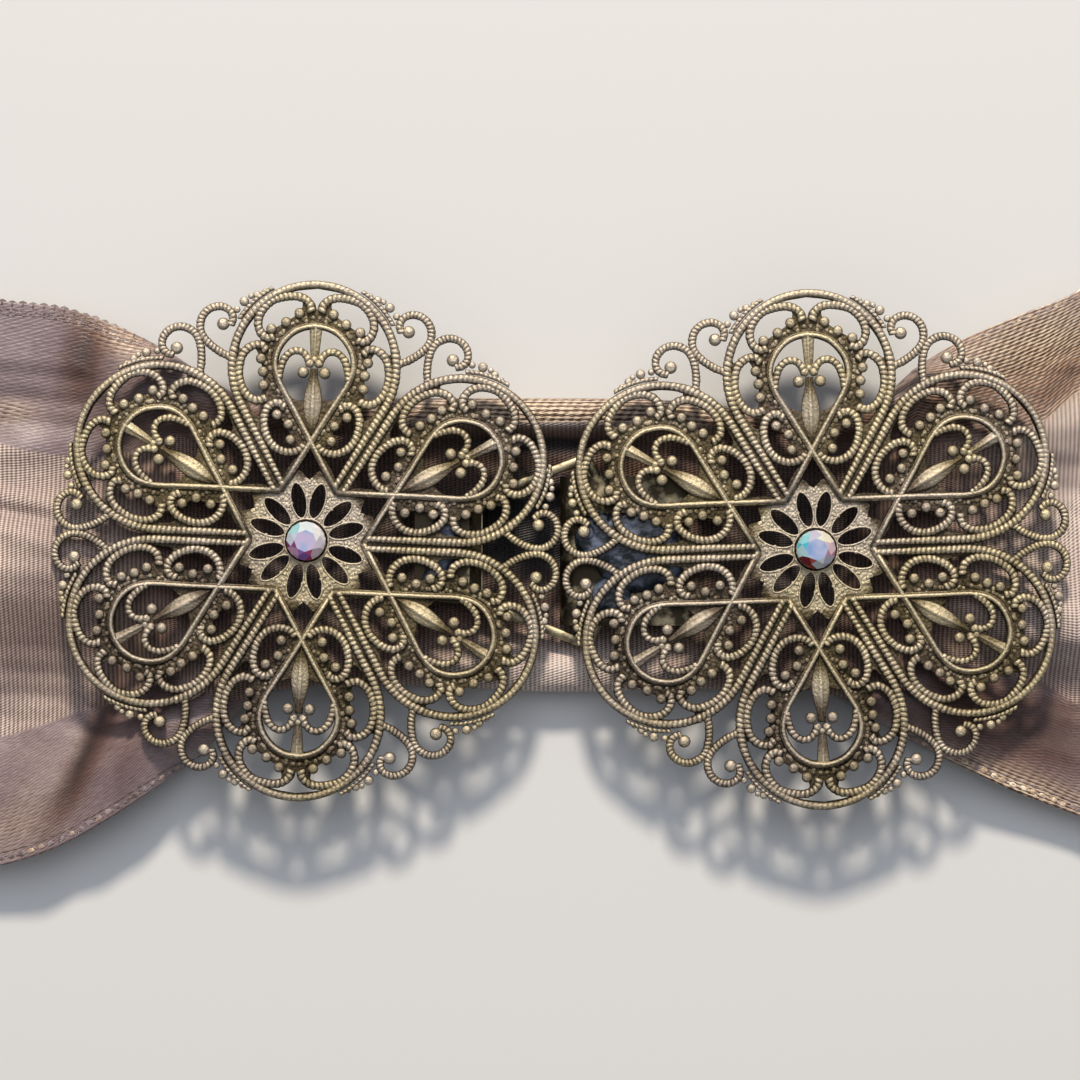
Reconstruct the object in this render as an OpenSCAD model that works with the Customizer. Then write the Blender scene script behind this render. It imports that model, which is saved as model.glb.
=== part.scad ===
/* [Medallions] */
// Width of a medallion across the round ends of two facing petals
medallion_w = 52.5; // [51:0.1:53]
// Distance from a medallion's centre to the middle of a petal's round end
petal_reach = 17.3; // [17.2:0.05:17.4]
// Radius of the beaded rope round a petal's end, at the rope's middle
rope_r = 8.15; // [8.05:0.05:8.15]
// Width of the beaded ropes
rope_w = 0.9; // [0.8:0.05:0.9]
// Width of the smooth wire of the star and the teardrops
wire_w = 0.8; // [0.7:0.05:0.85]
// Distance from a medallion's centre to the points of its star
star_r = 9.86; // [9.8:0.02:9.9]
// Thickness of the pierced plate
plate_t = 0.6; // [0.5:0.05:0.7]
// Height of the ropes over the plate
rope_h = 0.5; // [0.3:0.05:0.55]
// Height of the smooth wire over the plate
wire_h = 0.6; // [0.56:0.02:0.8]
// Radius of a granule
grain_r = 0.5; // [0.44:0.02:0.54]
// Left medallion's centre along the ribbon
left_x = -23.4; // [-24:0.1:-23.3]
// Left medallion's centre across the ribbon
left_y = 3.2; // [3:0.05:3.4]
// Left medallion's turn
left_turn = -2.6; // [-4:0.1:4]
// Right medallion's centre along the ribbon
right_x = 27.6; // [27.5:0.05:28.2]
// Right medallion's centre across the ribbon
right_y = 2.35; // [2:0.05:3]
// Right medallion's turn
right_turn = 2.1; // [-4:0.1:4]

/* [Crystals] */
// Radius of a crystal at its girdle
stone_r = 1.95; // [1.8:0.05:1.95]
// Height of a crystal's crown over its girdle
crown_h = 0.8; // [0.6:0.05:1]
// Radius of a crystal's table at its corners
table_r = 1.1; // [0.9:0.05:1.2]

/* [Clasp] */
// Clasp's middle across the ribbon
clasp_y = 2.2; // [2:0.05:2.4]
// Thickness of the clasp's sheet metal
clasp_t = 0.8; // [0.7:0.05:0.8]
// Front edge of the folded hook along the ribbon
hook_front = 2; // [1.9:0.05:2.1]
// Half height of the hook across the ribbon
hook_half = 7.5; // [7:0.05:7.5]
// How far the hook's plate runs back from its front edge
hook_run = 13; // [12:0.1:14]
// How far the hook's lip runs back from its front edge
lip_run = 6; // [5.6:0.1:7]

/* [Ribbon] */
// Thickness of the cloth wall
cloth_t = 1; // [1:0.02:1.06]
// Length of the curve that turns a ribbon edge under
fold_run = 4.5; // [4.4:0.05:4.6]

/* [Hidden] */
$fn = 48;

brass = "#8f8363";
glue_colour = "#8ea0a6";
cloth_colour = "#9a827a";
stone_colour = "#cdbfe6";

// Six petals, each in its own sector round a medallion's centre
petals = 6;
sector = 360 / petals;
half_sector = sector / 2;
star_lean = 30;

// Raised parts start this far inside the plate, and its edges stand this far clear of them.
// The motif is drawn at its own width, and the whole medallion is then brought to size
skin = 0.1;
motif_w = 2 * (petal_reach + rope_r + rope_w / 2 + skin);
size = medallion_w / motif_w;

// Heights over the surface that the ribbon lies on
back_z = 6.6;
face_z = back_z + size * plate_t;

// A straight run is this much narrower on each side than the arc that it leaves, and
// starts this far inside it
tuck = 0.04;
tuck_run = 0.3;

// The rope leaves its round end where the straight run touches it
rope_side = rope_r * cos(half_sector);
rope_foot = petal_reach - rope_r * sin(half_sector);
rope_run = 9.1;
disc_r = petal_reach - 0.8;

// The star's wires run on through its points and become the teardrops' sides
drop_r = (petal_reach - star_r) * sin(star_lean);
wire_run = star_r / sqrt(3) * sin(star_lean) + drop_r * cos(star_lean);

// Curls stand in pairs in the valleys between the petals
curl_reach = 22.6;
curl_off = 5;
curl_r = 2.15;
curl_start = -60;
curl_sweep = 250;

// The flower round the crystal: twelve pointed holes in pairs, and a cup
flower_r = 6.1;
flower_h = 0.3;
leaf_hole_reach = 4;
leaf_hole_long = 3.3;
leaf_hole_wide = 1.1;
leaf_hole_off = 12;
cup_r = 2.3;
cup_h = 0.95;
cup_floor = 0.25;
stone_gap = 0.1;
stone_lift = 0.3;

// Scrolls beside a petal's axis: place of the hole, its length, width and lean
U = 0;
V = 1;
LONG = 2;
WIDE = 3;
LEAN = 4;
scrolls = [
    [2.9, 10.9, 3.6, 1.9, -14],
    [5.9, 16.6, 4.2, 1.5, 4],
    [3.15, 22.3, 3.8, 1.6, 58],
];
scroll_w = 0.55;
scroll_h = rope_h - 0.06;

// Granules, three along the inner side of each scroll
grains = [
    [3.4, 12.5], [2.05, 11.3], [1.75, 9.6],
    [5.7, 18.2], [4.95, 16.5], [4.75, 15.1],
    [4.4, 21.1], [2.9, 21.6], [1.4, 22.4],
];
grain_h = 0.7;
grain_shoulder = 0.25;

// A pie slice, wide enough for a band of that radius
module slice(radius, start, sweep) {
    steps = 8;
    polygon([[0, 0], for (i = [0:steps])
        1.3 * radius * [cos(start + i * sweep / steps), sin(start + i * sweep / steps)]]);
}

// A band of constant width along an arc, its ends cut square
module arc_band(radius, width, start, sweep) {
    intersection() {
        difference() {
            circle(r = radius + width / 2);
            circle(r = radius - width / 2);
        }
        slice(radius + width, start, sweep);
    }
}

// A pointed oval, its long side along Y
module lens(long, wide) {
    big_r = (long * long + wide * wide) / (4 * wide);
    intersection() {
        translate([big_r - wide / 2, 0]) circle(r = big_r);
        translate([wide / 2 - big_r, 0]) circle(r = big_r);
    }
}

// A rounded oval: a longer pointed one, its tips trimmed by a circle
module oval(long, wide) {
    intersection() {
        lens(1.3 * long, wide);
        circle(r = long / 2);
    }
}

module both_sides() {
    children();
    mirror([1, 0]) children();
}

module each_petal() {
    for (i = [0:petals - 1]) rotate(i * sector) children();
}

module curl_places() {
    each_petal() both_sides() rotate(half_sector - curl_off) translate([0, curl_reach]) children();
}

module scroll_places(s) {
    translate([s[U], s[V]]) rotate(s[LEAN]) children();
}

module outline() {
    circle(r = disc_r);
    each_petal() translate([0, petal_reach]) circle(r = rope_r + rope_w / 2 + skin);
    curl_places() circle(r = curl_r + skin);
}

// The stem with its two leaves that stands in a teardrop and parts its opening
module stem() {
    translate([0, 13.4]) lens(6, 1.4);
    translate([0, 16.7]) circle(r = 1.1);
    translate([0, 19.2]) lens(5.6, 1.2);
}

module teardrop_hole() {
    web_top = 13.3;
    hole_r = drop_r - wire_w / 2 - skin;
    difference() {
        intersection() {
            union() {
                translate([0, petal_reach]) circle(r = hole_r);
                polygon([[0, 11.3], [2.5, 15.6], [-2.5, 15.6]]);
            }
            translate([-5, web_top]) square([10, 10]);
        }
        stem();
    }
}

module petal_holes() {
    teardrop_hole();
    both_sides() for (s = scrolls) scroll_places(s) oval(s[LONG], s[WIDE]);
}

module flower_holes() {
    for (side = [-1, 1]) rotate(leaf_hole_off * side) translate([0, leaf_hole_reach])
        lens(leaf_hole_long, leaf_hole_wide);
}

// Each petal's outer rope: round its end and down both sides to the star
module ropes() {
    each_petal() {
        translate([0, petal_reach]) arc_band(rope_r, rope_w, -half_sector, 180 + sector);
        both_sides() translate([rope_side, rope_foot]) rotate(-half_sector)
            translate([tuck - rope_w / 2, -rope_run])
                square([rope_w - 2 * tuck, rope_run + tuck_run]);
    }
}

module scroll_ropes() {
    clear = 2 * skin;
    each_petal() both_sides() for (s = scrolls) scroll_places(s) difference() {
        oval(s[LONG] + clear + 2 * scroll_w, s[WIDE] + clear + 2 * scroll_w);
        oval(s[LONG] + clear, s[WIDE] + clear);
    }
}

module curls() {
    curl_places() arc_band(curl_r - rope_w / 2, rope_w, curl_start, curl_sweep);
}

// The smooth wires: the star's lines and the teardrops
module wires() {
    each_petal() {
        translate([0, petal_reach]) arc_band(drop_r, wire_w, -star_lean, 180 + 2 * star_lean);
        both_sides() translate([drop_r * cos(star_lean), petal_reach - drop_r * sin(star_lean)])
            rotate(-star_lean) translate([tuck - wire_w / 2, -2 * wire_run])
                square([wire_w - 2 * tuck, 2 * wire_run + tuck_run]);
        stem();
    }
}

// A granule: a short post with a bevelled shoulder
module grain() {
    post = grain_h + skin - grain_shoulder;
    cylinder(r = grain_r, h = post);
    translate([0, 0, post])
        cylinder(r1 = grain_r, r2 = grain_r - grain_shoulder, h = grain_shoulder);
}

module raised(height) {
    translate([0, 0, plate_t - skin]) linear_extrude(height + skin) children();
}

module medallion(x, y, turn) {
    translate([x, y, back_z]) rotate(turn) scale(size) difference() {
        union() {
            linear_extrude(plate_t) difference() {
                outline();
                each_petal() petal_holes();
            }
            raised(rope_h) {
                ropes();
                curls();
            }
            raised(scroll_h) scroll_ropes();
            raised(wire_h) wires();
            raised(flower_h) circle(r = flower_r);
            raised(cup_h) circle(r = cup_r);
            each_petal() both_sides() for (g = grains)
                translate([g[U], g[V], plate_t - skin]) grain();
        }
        translate([0, 0, -1]) linear_extrude(3) each_petal() flower_holes();
        translate([0, 0, plate_t + cup_floor]) cylinder(r = (stone_r + stone_gap) / size, h = 2);
    }
}

module medallion_left() {
    color(brass) medallion(left_x, left_y, left_turn);
}

module medallion_right() {
    color(brass) medallion(right_x, right_y, right_turn);
}

// A round crystal cut with a table, eight stars, eight kites and sixteen girdle facets
cut = 8;
cut_step = 360 / cut;
girdle_t = 0.12;
foil_depth = 0.52;
foil_r = 0.9;
star_tip_r = 1.55;
star_tip_z = crown_h
    * (1 - (star_tip_r * cos(cut_step / 2) - table_r) / (stone_r - table_r));

function ring(radius, z, count, lead) =
    [for (i = [0:count - 1]) [radius * cos(lead + i * 360 / count), radius * sin(lead + i * 360 / count), z]];

module crystal() {
    table = 0;
    tips = table + cut;
    girdle = tips + cut;
    belt = girdle + 2 * cut;
    foil = belt + 2 * cut;
    points = concat(
        ring(table_r, crown_h, cut, 0),
        ring(star_tip_r, star_tip_z, cut, cut_step / 2),
        ring(stone_r, 0, 2 * cut, 0),
        ring(stone_r, -girdle_t, 2 * cut, 0),
        ring(foil_r, -girdle_t - foil_depth, cut, 0));
    faces = concat(
        [[for (i = [cut - 1:-1:0]) table + i]],
        [for (i = [0:cut - 1]) [table + i, table + (i + 1) % cut, tips + i]],
        [for (i = [0:cut - 1]) [table + i, tips + i, girdle + 2 * i, tips + (i + cut - 1) % cut]],
        [for (i = [0:cut - 1]) [tips + i, girdle + 2 * i + 1, girdle + 2 * i]],
        [for (i = [0:cut - 1]) [tips + i, girdle + (2 * i + 2) % (2 * cut), girdle + 2 * i + 1]],
        [for (i = [0:2 * cut - 1])
            [girdle + i, girdle + (i + 1) % (2 * cut), belt + (i + 1) % (2 * cut), belt + i]],
        [for (i = [0:cut - 1]) [belt + 2 * i, belt + 2 * i + 1, foil + i]],
        [for (i = [0:cut - 1]) [belt + 2 * i + 1, foil + (i + 1) % cut, foil + i]],
        [for (i = [0:cut - 1])
            [belt + 2 * i + 1, belt + (2 * i + 2) % (2 * cut), foil + (i + 1) % cut]],
        [[for (i = [0:cut - 1]) foil + i]]);
    polyhedron(points = points, faces = faces);
}

module stone(x, y, turn) {
    base_z = face_z + stone_lift;
    translate([x, y, base_z + foil_depth + girdle_t]) rotate(turn) crystal();
}

module stone_left() {
    color(stone_colour) stone(left_x, left_y, left_turn);
}

module stone_right() {
    color(stone_colour) stone(right_x, right_y, right_turn);
}

// Heights of the clasp: the hook folds round the frame's end bar
fold_z = 4.25;
fold_r = 1.45;
plate_top = fold_z + fold_r;
bar_z = fold_z - clasp_t / 2;
clasp_long = 40;

// Cuts a plan drawn in XY out of a sheet whose side view is drawn in X and height
module stamped(side_view) {
    intersection() {
        translate([0, clasp_y, 0]) linear_extrude(10) children();
        translate([0, clasp_y, 0]) rotate([90, 0, 0]) linear_extrude(clasp_long, center = true)
            polygon(side_view);
    }
}

// One half of the frame's outline, from the mounting plate out to the end bar
frame_outer = [[-12.6, 4.2], [-11.8, 5], [-6.8, 5.4], [3.7, 9.5], [5.3, 9.5], [6.6, 6.7]];
frame_inner = [[-5.8, 4.83], [3.9, 8.6], [4.6, 8.4], [5.4, 6.4]];

function both_halves(half) =
    concat(half, [for (i = [len(half) - 1:-1:0]) [half[i][0], -half[i][1]]]);

// The flat eye: a mounting plate that steps down to a wide open frame
module eye_frame() {
    step_from = -7.4;
    step_to = -6.2;
    ends = [-13, 7];
    color(brass) stamped([
        [ends[0], plate_top - clasp_t], [step_from, plate_top - clasp_t],
        [step_to, bar_z], [ends[1], bar_z],
        [ends[1], bar_z + clasp_t], [step_to + 0.3, bar_z + clasp_t],
        [step_from + 0.3, plate_top], [ends[0], plate_top]])
        difference() {
            polygon(both_halves(frame_outer));
            polygon(both_halves(frame_inner));
        }
}

// The hook: a wide plate whose front edge folds down and back under the frame's bar
module hook_plate() {
    middle = hook_front + fold_r;
    color(brass) translate([0, clasp_y, 0]) rotate([90, 0, 0])
        linear_extrude(2 * hook_half, center = true) {
            translate([middle, fold_z]) arc_band(fold_r - clasp_t / 2, clasp_t, 90, 180);
            translate([middle, plate_top - clasp_t]) square([hook_run - fold_r, clasp_t]);
            translate([middle, fold_z - fold_r]) square([lip_run - fold_r, clasp_t]);
        }
}

// Dried glue between a clasp half and its medallion: overlapping round drops
glue_z = plate_top + skin;
glue_t = back_z - glue_z - skin;
X = 0;
Y = 1;
R = 2;
drops_left = [[-10, 2, 2.2], [-9.4, 4.6, 1.5], [-10.2, -0.6, 1.6]];
drops_right = [[9.6, 2.4, 4.4], [5.9, 3.4, 2.4], [12.2, 0.8, 2.5], [7.2, -2.2, 2]];

module glue(drops) {
    color(glue_colour) translate([0, 0, glue_z]) linear_extrude(glue_t)
        for (d = drops) translate([d[X], d[Y]]) circle(r = d[R]);
}

module glue_left() {
    glue(drops_left);
}

module glue_right() {
    glue(drops_right);
}

// The ribbon, cut across at each row: how far along, the visible edges, the angle that
// the edges turn through and how much is tucked under past the turn, then seven heights
// of the cloth's middle from the top edge to the bottom one
flat_edge = 2 * fold_run / PI + cloth_t / 2;
ALONG = 0;
TOP = 1;
BOTTOM = 2;
TURN = 3;
TUCK = 4;
HEIGHT = 5;
cuts = [
    [-57, 27.8, -29.9, 0, 1.2, 3.6, 1.4, 3.4, 4.8, 3.2, 1.8, 3.6],
    [-54, 27.4, -29.4, 0, 1.2, 3.6, 1.3, 3.4, 4.8, 3.2, 1.5, 3.8],
    [-48, 26.7, -27.3, 0, 1.2, 3.4, 1.2, 3.4, 4.9, 3.6, 1.2, 3.8],
    [-42, 24.5, -23.8, 30, 1.2, 4.2, 2.0, 4.2, 5.2, 4.4, 1.8, 4.2],
    [-37.5, 22.1, -20.7, 90, 1.5, 5.0, 3.4, 4.6, 5.2, 4.8, 3.6, 5.0],
    [-33.5, 19.5, -17.4, 160, 4, 5.0, 4.2, 3.6, 3.6, 3.8, 4.4, 5.0],
    [-29.5, 17.3, -12.9, 180, 8, flat_edge, 3.2, 2.6, 2.2, 2.6, 3.2, flat_edge],
    [-24, 17.3, -11.5, 180, 11, flat_edge, 2.9, 2.1, 1.8, 2.1, 2.9, flat_edge],
    [-14, 17.5, -11.3, 180, 11.5, flat_edge, 2.3, 1.75, 1.75, 1.75, 2.3, flat_edge],
    [2, 17.5, -11.9, 180, 11.5, flat_edge, 2.1, 1.75, 1.75, 1.75, 2.1, flat_edge],
    [14, 17.2, -11.7, 180, 11.5, flat_edge, 2.3, 1.75, 1.75, 1.75, 2.3, flat_edge],
    [23, 16.1, -11.7, 180, 11, flat_edge, 2.8, 2.0, 1.8, 2.0, 2.8, flat_edge],
    [30, 15.1, -12.4, 180, 8, flat_edge, 3.2, 2.6, 2.2, 2.6, 3.2, flat_edge],
    [34, 17, -14.7, 160, 4, 5.0, 4.6, 3.6, 3.6, 4.2, 4.4, 5.0],
    [38, 20.4, -17.1, 90, 1.5, 5.0, 5.0, 3.6, 4.4, 5.2, 4.0, 5.0],
    [42.5, 23.3, -19.5, 30, 1.2, 3.2, 5.0, 3.0, 4.2, 5.2, 2.6, 4.4],
    [48, 25.8, -22.1, 0, 1.2, 1.6, 4.6, 2.2, 3.8, 5.0, 1.6, 4.0],
    [54, 28.2, -24.4, 0, 1.2, 1.1, 4.2, 2.0, 3.4, 4.8, 1.3, 3.7],
    [57, 29.9, -25.5, 0, 1.2, 0.9, 4.2, 2.0, 3.4, 4.8, 1.3, 3.7],
];
spans = 6;
fold_steps = 4;
top_steps = 12;

// A smooth curve through a row's seven heights, from 0 at the top edge to 1 at the bottom
function height_at(row, t) =
    let (k = min(spans - 1, floor(t * spans)), f = t * spans - k,
         a = row[HEIGHT + max(k - 1, 0)], b = row[HEIGHT + k],
         c = row[HEIGHT + k + 1], d = row[HEIGHT + min(k + 2, spans)])
    b + 0.5 * f * (c - a + f * (2 * a - 5 * b + 4 * c - d + f * (3 * (b - c) + d - a)));

// How far out and how high an edge is, a run past the start of its turn
function turn_of(row) = max(row[TURN], 0.1);
function bend_r(row) = fold_run / (turn_of(row) * PI / 180);
function turned(row, run) =
    let (angle = turn_of(row) * min(run, fold_run) / fold_run, past = max(run - fold_run, 0))
    [bend_r(row) * sin(angle) + past * cos(angle), bend_r(row) * (cos(angle) - 1) - past * sin(angle)];
function overhang(row) = row[TURN] > 90 ? bend_r(row) : turned(row, fold_run + row[TUCK])[0];

// One edge from its tip in to the start of the turn, on the side that sign names
function edge(row, sign) =
    let (start = sign > 0 ? row[TOP] - overhang(row) : row[BOTTOM] + overhang(row),
         rise = height_at(row, sign > 0 ? 0 : 1),
         runs = concat([fold_run + row[TUCK]], [for (i = [fold_steps:-1:1]) fold_run * i / fold_steps]))
    [for (run = runs) [start + sign * turned(row, run)[0], rise + turned(row, run)[1]]];

function visible(row) =
    let (from = row[TOP] - overhang(row), to = row[BOTTOM] + overhang(row))
    [for (i = [0:top_steps]) [from + (to - from) * i / top_steps, height_at(row, i / top_steps)]];

function reversed(list) = [for (i = [len(list) - 1:-1:0]) list[i]];
function middle_line(row) = concat(edge(row, 1), visible(row), reversed(edge(row, -1)));

// The two faces of the cloth, half its thickness to each side of its middle
function face_line(line, half) =
    [for (i = [0:len(line) - 1])
        let (before = line[max(i - 1, 0)], after = line[min(i + 1, len(line) - 1)],
             along = (after - before) / norm(after - before))
        line[i] + half * [-along[1], along[0]]];

function section(row) =
    let (line = middle_line(row))
    [for (p = concat(face_line(line, cloth_t / 2), reversed(face_line(line, -cloth_t / 2))))
        [row[ALONG], p[0], p[1]]];

module ribbon() {
    across = len(middle_line(cuts[0]));
    round = 2 * across;
    last = (len(cuts) - 1) * round;
    color(cloth_colour) polyhedron(
        points = [for (row = cuts) each section(row)],
        faces = concat(
            [for (j = [0:len(cuts) - 2], i = [0:round - 1])
                let (here = j * round + i, next = j * round + (i + 1) % round)
                each [[here, next, here + round], [next, next + round, here + round]]],
            [for (i = [0:across - 2]) [i, round - 1 - i, round - 2 - i, i + 1]],
            [for (i = [0:across - 2]) [last + i, last + i + 1, last + round - 2 - i, last + round - 1 - i]]),
        convexity = 6);
}

ribbon();
eye_frame();
hook_plate();
glue_left();
glue_right();
medallion_left();
medallion_right();
stone_left();
stone_right();
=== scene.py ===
"""A fastened ribbon clasp with two filigree medallions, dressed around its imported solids."""

import math

import bpy
import numpy as np
from mathutils import Matrix, Vector
from mathutils.geometry import delaunay_2d_cdt


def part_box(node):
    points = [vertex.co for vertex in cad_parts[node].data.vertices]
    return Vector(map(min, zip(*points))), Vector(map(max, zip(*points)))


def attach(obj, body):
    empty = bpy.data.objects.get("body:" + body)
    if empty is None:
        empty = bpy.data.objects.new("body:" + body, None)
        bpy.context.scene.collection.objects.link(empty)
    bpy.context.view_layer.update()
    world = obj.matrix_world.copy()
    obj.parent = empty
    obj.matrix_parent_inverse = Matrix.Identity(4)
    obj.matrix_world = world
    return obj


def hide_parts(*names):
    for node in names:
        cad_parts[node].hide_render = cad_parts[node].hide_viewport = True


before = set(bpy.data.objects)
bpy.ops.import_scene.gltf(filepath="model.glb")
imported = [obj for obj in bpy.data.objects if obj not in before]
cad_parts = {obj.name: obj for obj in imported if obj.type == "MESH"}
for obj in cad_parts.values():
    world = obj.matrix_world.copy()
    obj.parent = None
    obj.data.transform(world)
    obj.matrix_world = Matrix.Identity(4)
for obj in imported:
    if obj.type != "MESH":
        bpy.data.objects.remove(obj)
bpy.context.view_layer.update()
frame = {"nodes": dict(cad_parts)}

bl_info = {
    "name": "Filigree ribbon clasp",
    "version": (1, 0, 0),
    "blender": (4, 5, 0),
    "location": "View3D > Sidebar > Clasp",
    "description": "Two pierced brass medallions with crystals on a fastened clasp and a folded ribbon",
    "category": "Object",
}

MM = 0.001
PETALS = 6
SECTOR = math.tau / PETALS


# Settings

def linear(hex_colour):
    """An sRGB hex value as a linear colour with full alpha."""
    parts = [int(hex_colour[i:i + 2], 16) / 255 for i in (1, 3, 5)]
    return tuple(c / 12.92 if c <= 0.04045 else ((c + 0.055) / 1.055) ** 2.4 for c in parts) + (1.0,)


def length(name, size, description):
    """A length that a user can change, its default in millimetres."""
    return bpy.props.FloatProperty(name=name, description=description, default=size * MM, unit="LENGTH")


def hue(name, hex_colour, description):
    """A colour that a user can change."""
    return bpy.props.FloatVectorProperty(
        name=name, description=description, default=linear(hex_colour), subtype="COLOR", size=4, min=0, max=1)


class MedallionLook(bpy.types.PropertyGroup):
    """Sizes and colours of the pierced brass medallions."""

    plate_thick: length("Plate", 0.55, "Thickness of the pierced sheet")
    rope_wide: length("Rope width", 0.95, "Width of the beaded ropes")
    rope_high: length("Rope height", 0.5, "Height of the ropes over the sheet")
    bead_pitch: length("Bead pitch", 0.5, "Length of one bead of the outer ropes")
    wire_wide: length("Wire width", 0.66, "Width of the star's grooved wire")
    granule: length("Granule", 0.54, "Radius of a granule")
    worn: hue("Worn brass", "#D8CCBA", "Greyed brass where wear has brightened it")
    bright: hue("Bright brass", "#DACDAD", "Yellower brass where the patina is thinnest")
    grey: hue("Grey patina", "#7C6F60", "Brass under grey brown patina")
    olive: hue("Olive patina", "#7E7156", "Brass under thin olive patina")
    recess: hue("Recess", "#0C0908", "Dark patina between the beads")


class ClaspLook(bpy.types.PropertyGroup):
    """Colours of the clasp's sheet metal and the glue."""

    frame: hue("Frame brass", "#C6B793", "Rubbed brass of the frame")
    # patina marks the frame, and as the hook's main colour it is painted shade under the right medallion
    patina: hue("Clasp patina", "#4A4234", "Dark patina of the hook")
    # The glue colours are the epoxy's own slate blue, darkened as painted shade for the shadow under the
    # medallions
    glue: hue("Glue", "#262D35", "Set epoxy")
    glue_deep: hue("Glue, deep", "#101316", "Set epoxy where it is thick")
    glue_pale_and_highlight: hue("Glue, pale", "#5E667A", "Set epoxy on its lumps")


class RibbonLook(bpy.types.PropertyGroup):
    """Sizes and colours of the ribbon."""

    cloth_thick: length("Cloth", 0.35, "Thickness of the ribbon")
    wide: length("Width", 57, "Woven width of the ribbon")
    satin_wide: length("Satin band", 13.5, "Width of each satin band")
    rib_pitch: length("Rib pitch", 0.45, "Distance between the ribs of the middle band")
    line_pitch: length("Satin line pitch", 0.42, "Distance between the satin's lengthwise lines")
    satin: hue("Satin", "#9D8D91", "Colour of the satin bands")
    deep: hue("Satin shade", "#7C6C6F", "Colour between the satin's floats")
    satin_light: hue("Satin, light", "#C2B6BC", "Colour on top of the satin's floats")
    thread: hue("Edge thread", "#5E4F43", "Brown thread of the woven edge")
    # Painted shade: these two colours darken the cloth under the medallions, in the gap between them and
    # along its creases
    dim: hue("Dimmed", "#1F1619", "What creases and rubbed-off patina leave of the light")
    half_shade: hue("Crease", "#B39B8D", "Warmer light that is left where the cloth is dimmed by half")
    # These three colours are the second thread's, and also give painted light on the lit folds and edges
    tan: hue("Tan", "#CEAC86", "Second thread of the satin")
    tan_deep: hue("Tan, deep", "#5A3F2D", "Second thread between its lines")
    tan_light: hue("Tan, light", "#FFEFD4", "Second thread on top of its lines")
    ribbed: hue("Ribbed band", "#BFABA3", "Colour of the ribbed middle band")
    shade: hue("Rib shade", "#79665E", "Colour between the ribs")
    glint: hue("Rib glint", "#FAEFE6", "Colour of the ribs' tops")


class StageLook(bpy.types.PropertyGroup):
    """Camera and light."""

    camera_high: length("Camera height", 360, "Height of the camera over the medallions")
    frame_wide: length("Frame width", 108, "What the picture takes in at the medallions")
    sun_high: bpy.props.FloatProperty(
        name="Key elevation", description="Height of the key light over the horizon",
        default=math.radians(38), subtype="ANGLE", unit="ROTATION")
    floor: hue("Floor", "#E5E5E3", "Colour of the pale floor")


# Geometry, in millimetres

def curve_through(points, per_span=6, closed=False):
    """A smooth curve through a few points, as an array of closely spaced ones."""
    pts = np.array(points, float)
    if closed:
        ext = np.vstack([pts[-1], pts, pts[0], pts[1]])
    else:
        ext = np.vstack([2 * pts[0] - pts[1], pts, 2 * pts[-1] - pts[-2]])
    t = np.arange(per_span)[:, None] / per_span
    line = np.vstack([spline(t, *four) for four in zip(ext, ext[1:], ext[2:], ext[3:])])
    return line if closed else np.vstack([line, pts[-1]])


def spline(t, a, b, c, d):
    """Between b at t = 0 and c at t = 1, on a smooth curve that comes from a and goes on to d."""
    return b + 0.5 * t * (c - a + t * (2 * a - 5 * b + 4 * c - d + t * (3 * (b - c) + d - a)))


def arc(centre, radius, start, end, step=4):
    """Points along an arc, its angles in degrees."""
    angles = np.radians(np.linspace(start, end, max(2, int(abs(end - start) / step) + 1)))
    return np.array(centre) + radius * np.column_stack([np.cos(angles), np.sin(angles)])


def along(line):
    """Length run at each point of a line."""
    return np.concatenate([[0], np.cumsum(np.linalg.norm(np.diff(line, axis=0), axis=1))])


def between(at, run, rows):
    """Rows of numbers at places that lie between those where they are given."""
    return np.column_stack([np.interp(at, run, column) for column in rows.T])


def unit(ways):
    """The same directions, each with a length of 1."""
    return ways / np.linalg.norm(ways, axis=-1, keepdims=True)


def mirrored(points):
    """Points on the other side of the petal's axis."""
    return np.array(points) * [-1, 1]


def turned_copies(points):
    """Points in plan, once for each petal."""
    for k in range(PETALS):
        c, s = math.cos(k * SECTOR), math.sin(k * SECTOR)
        yield points @ np.array([[c, s], [-s, c]])


def belt(rings, sides):
    """Quads round a tube, between each two of its rings."""
    return [[a, b, b + sides, a + sides] for i in range(rings - 1)
            for a, b in ((i * sides + j, i * sides + (j + 1) % sides) for j in range(sides))]


def mesh_piece(name, points, faces, material, values, place=Matrix.Identity(4), flat=None, smooth=True):
    """A mesh object with a number for each point under each given name, and flat coordinates in
    metres if it is woven."""
    mesh = bpy.data.meshes.new(name)
    mesh.from_pydata((points * MM).tolist(), [], faces)
    for word, value in values.items():
        mesh.attributes.new(word, "FLOAT", "POINT").data.foreach_set("value", value.astype(np.float32))
    if flat is not None:
        corner = np.empty(len(mesh.loops), np.int32)
        mesh.loops.foreach_get("vertex_index", corner)
        mesh.uv_layers.new(name="flat").data.foreach_set("uv", flat[corner].astype(np.float32).ravel())
    mesh.polygons.foreach_set("use_smooth", [smooth] * len(mesh.polygons))
    mesh.materials.append(material)
    mesh.update()
    made = bpy.data.objects.new(name, mesh)
    bpy.context.scene.collection.objects.link(made)
    made.matrix_world = place
    return made


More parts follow.
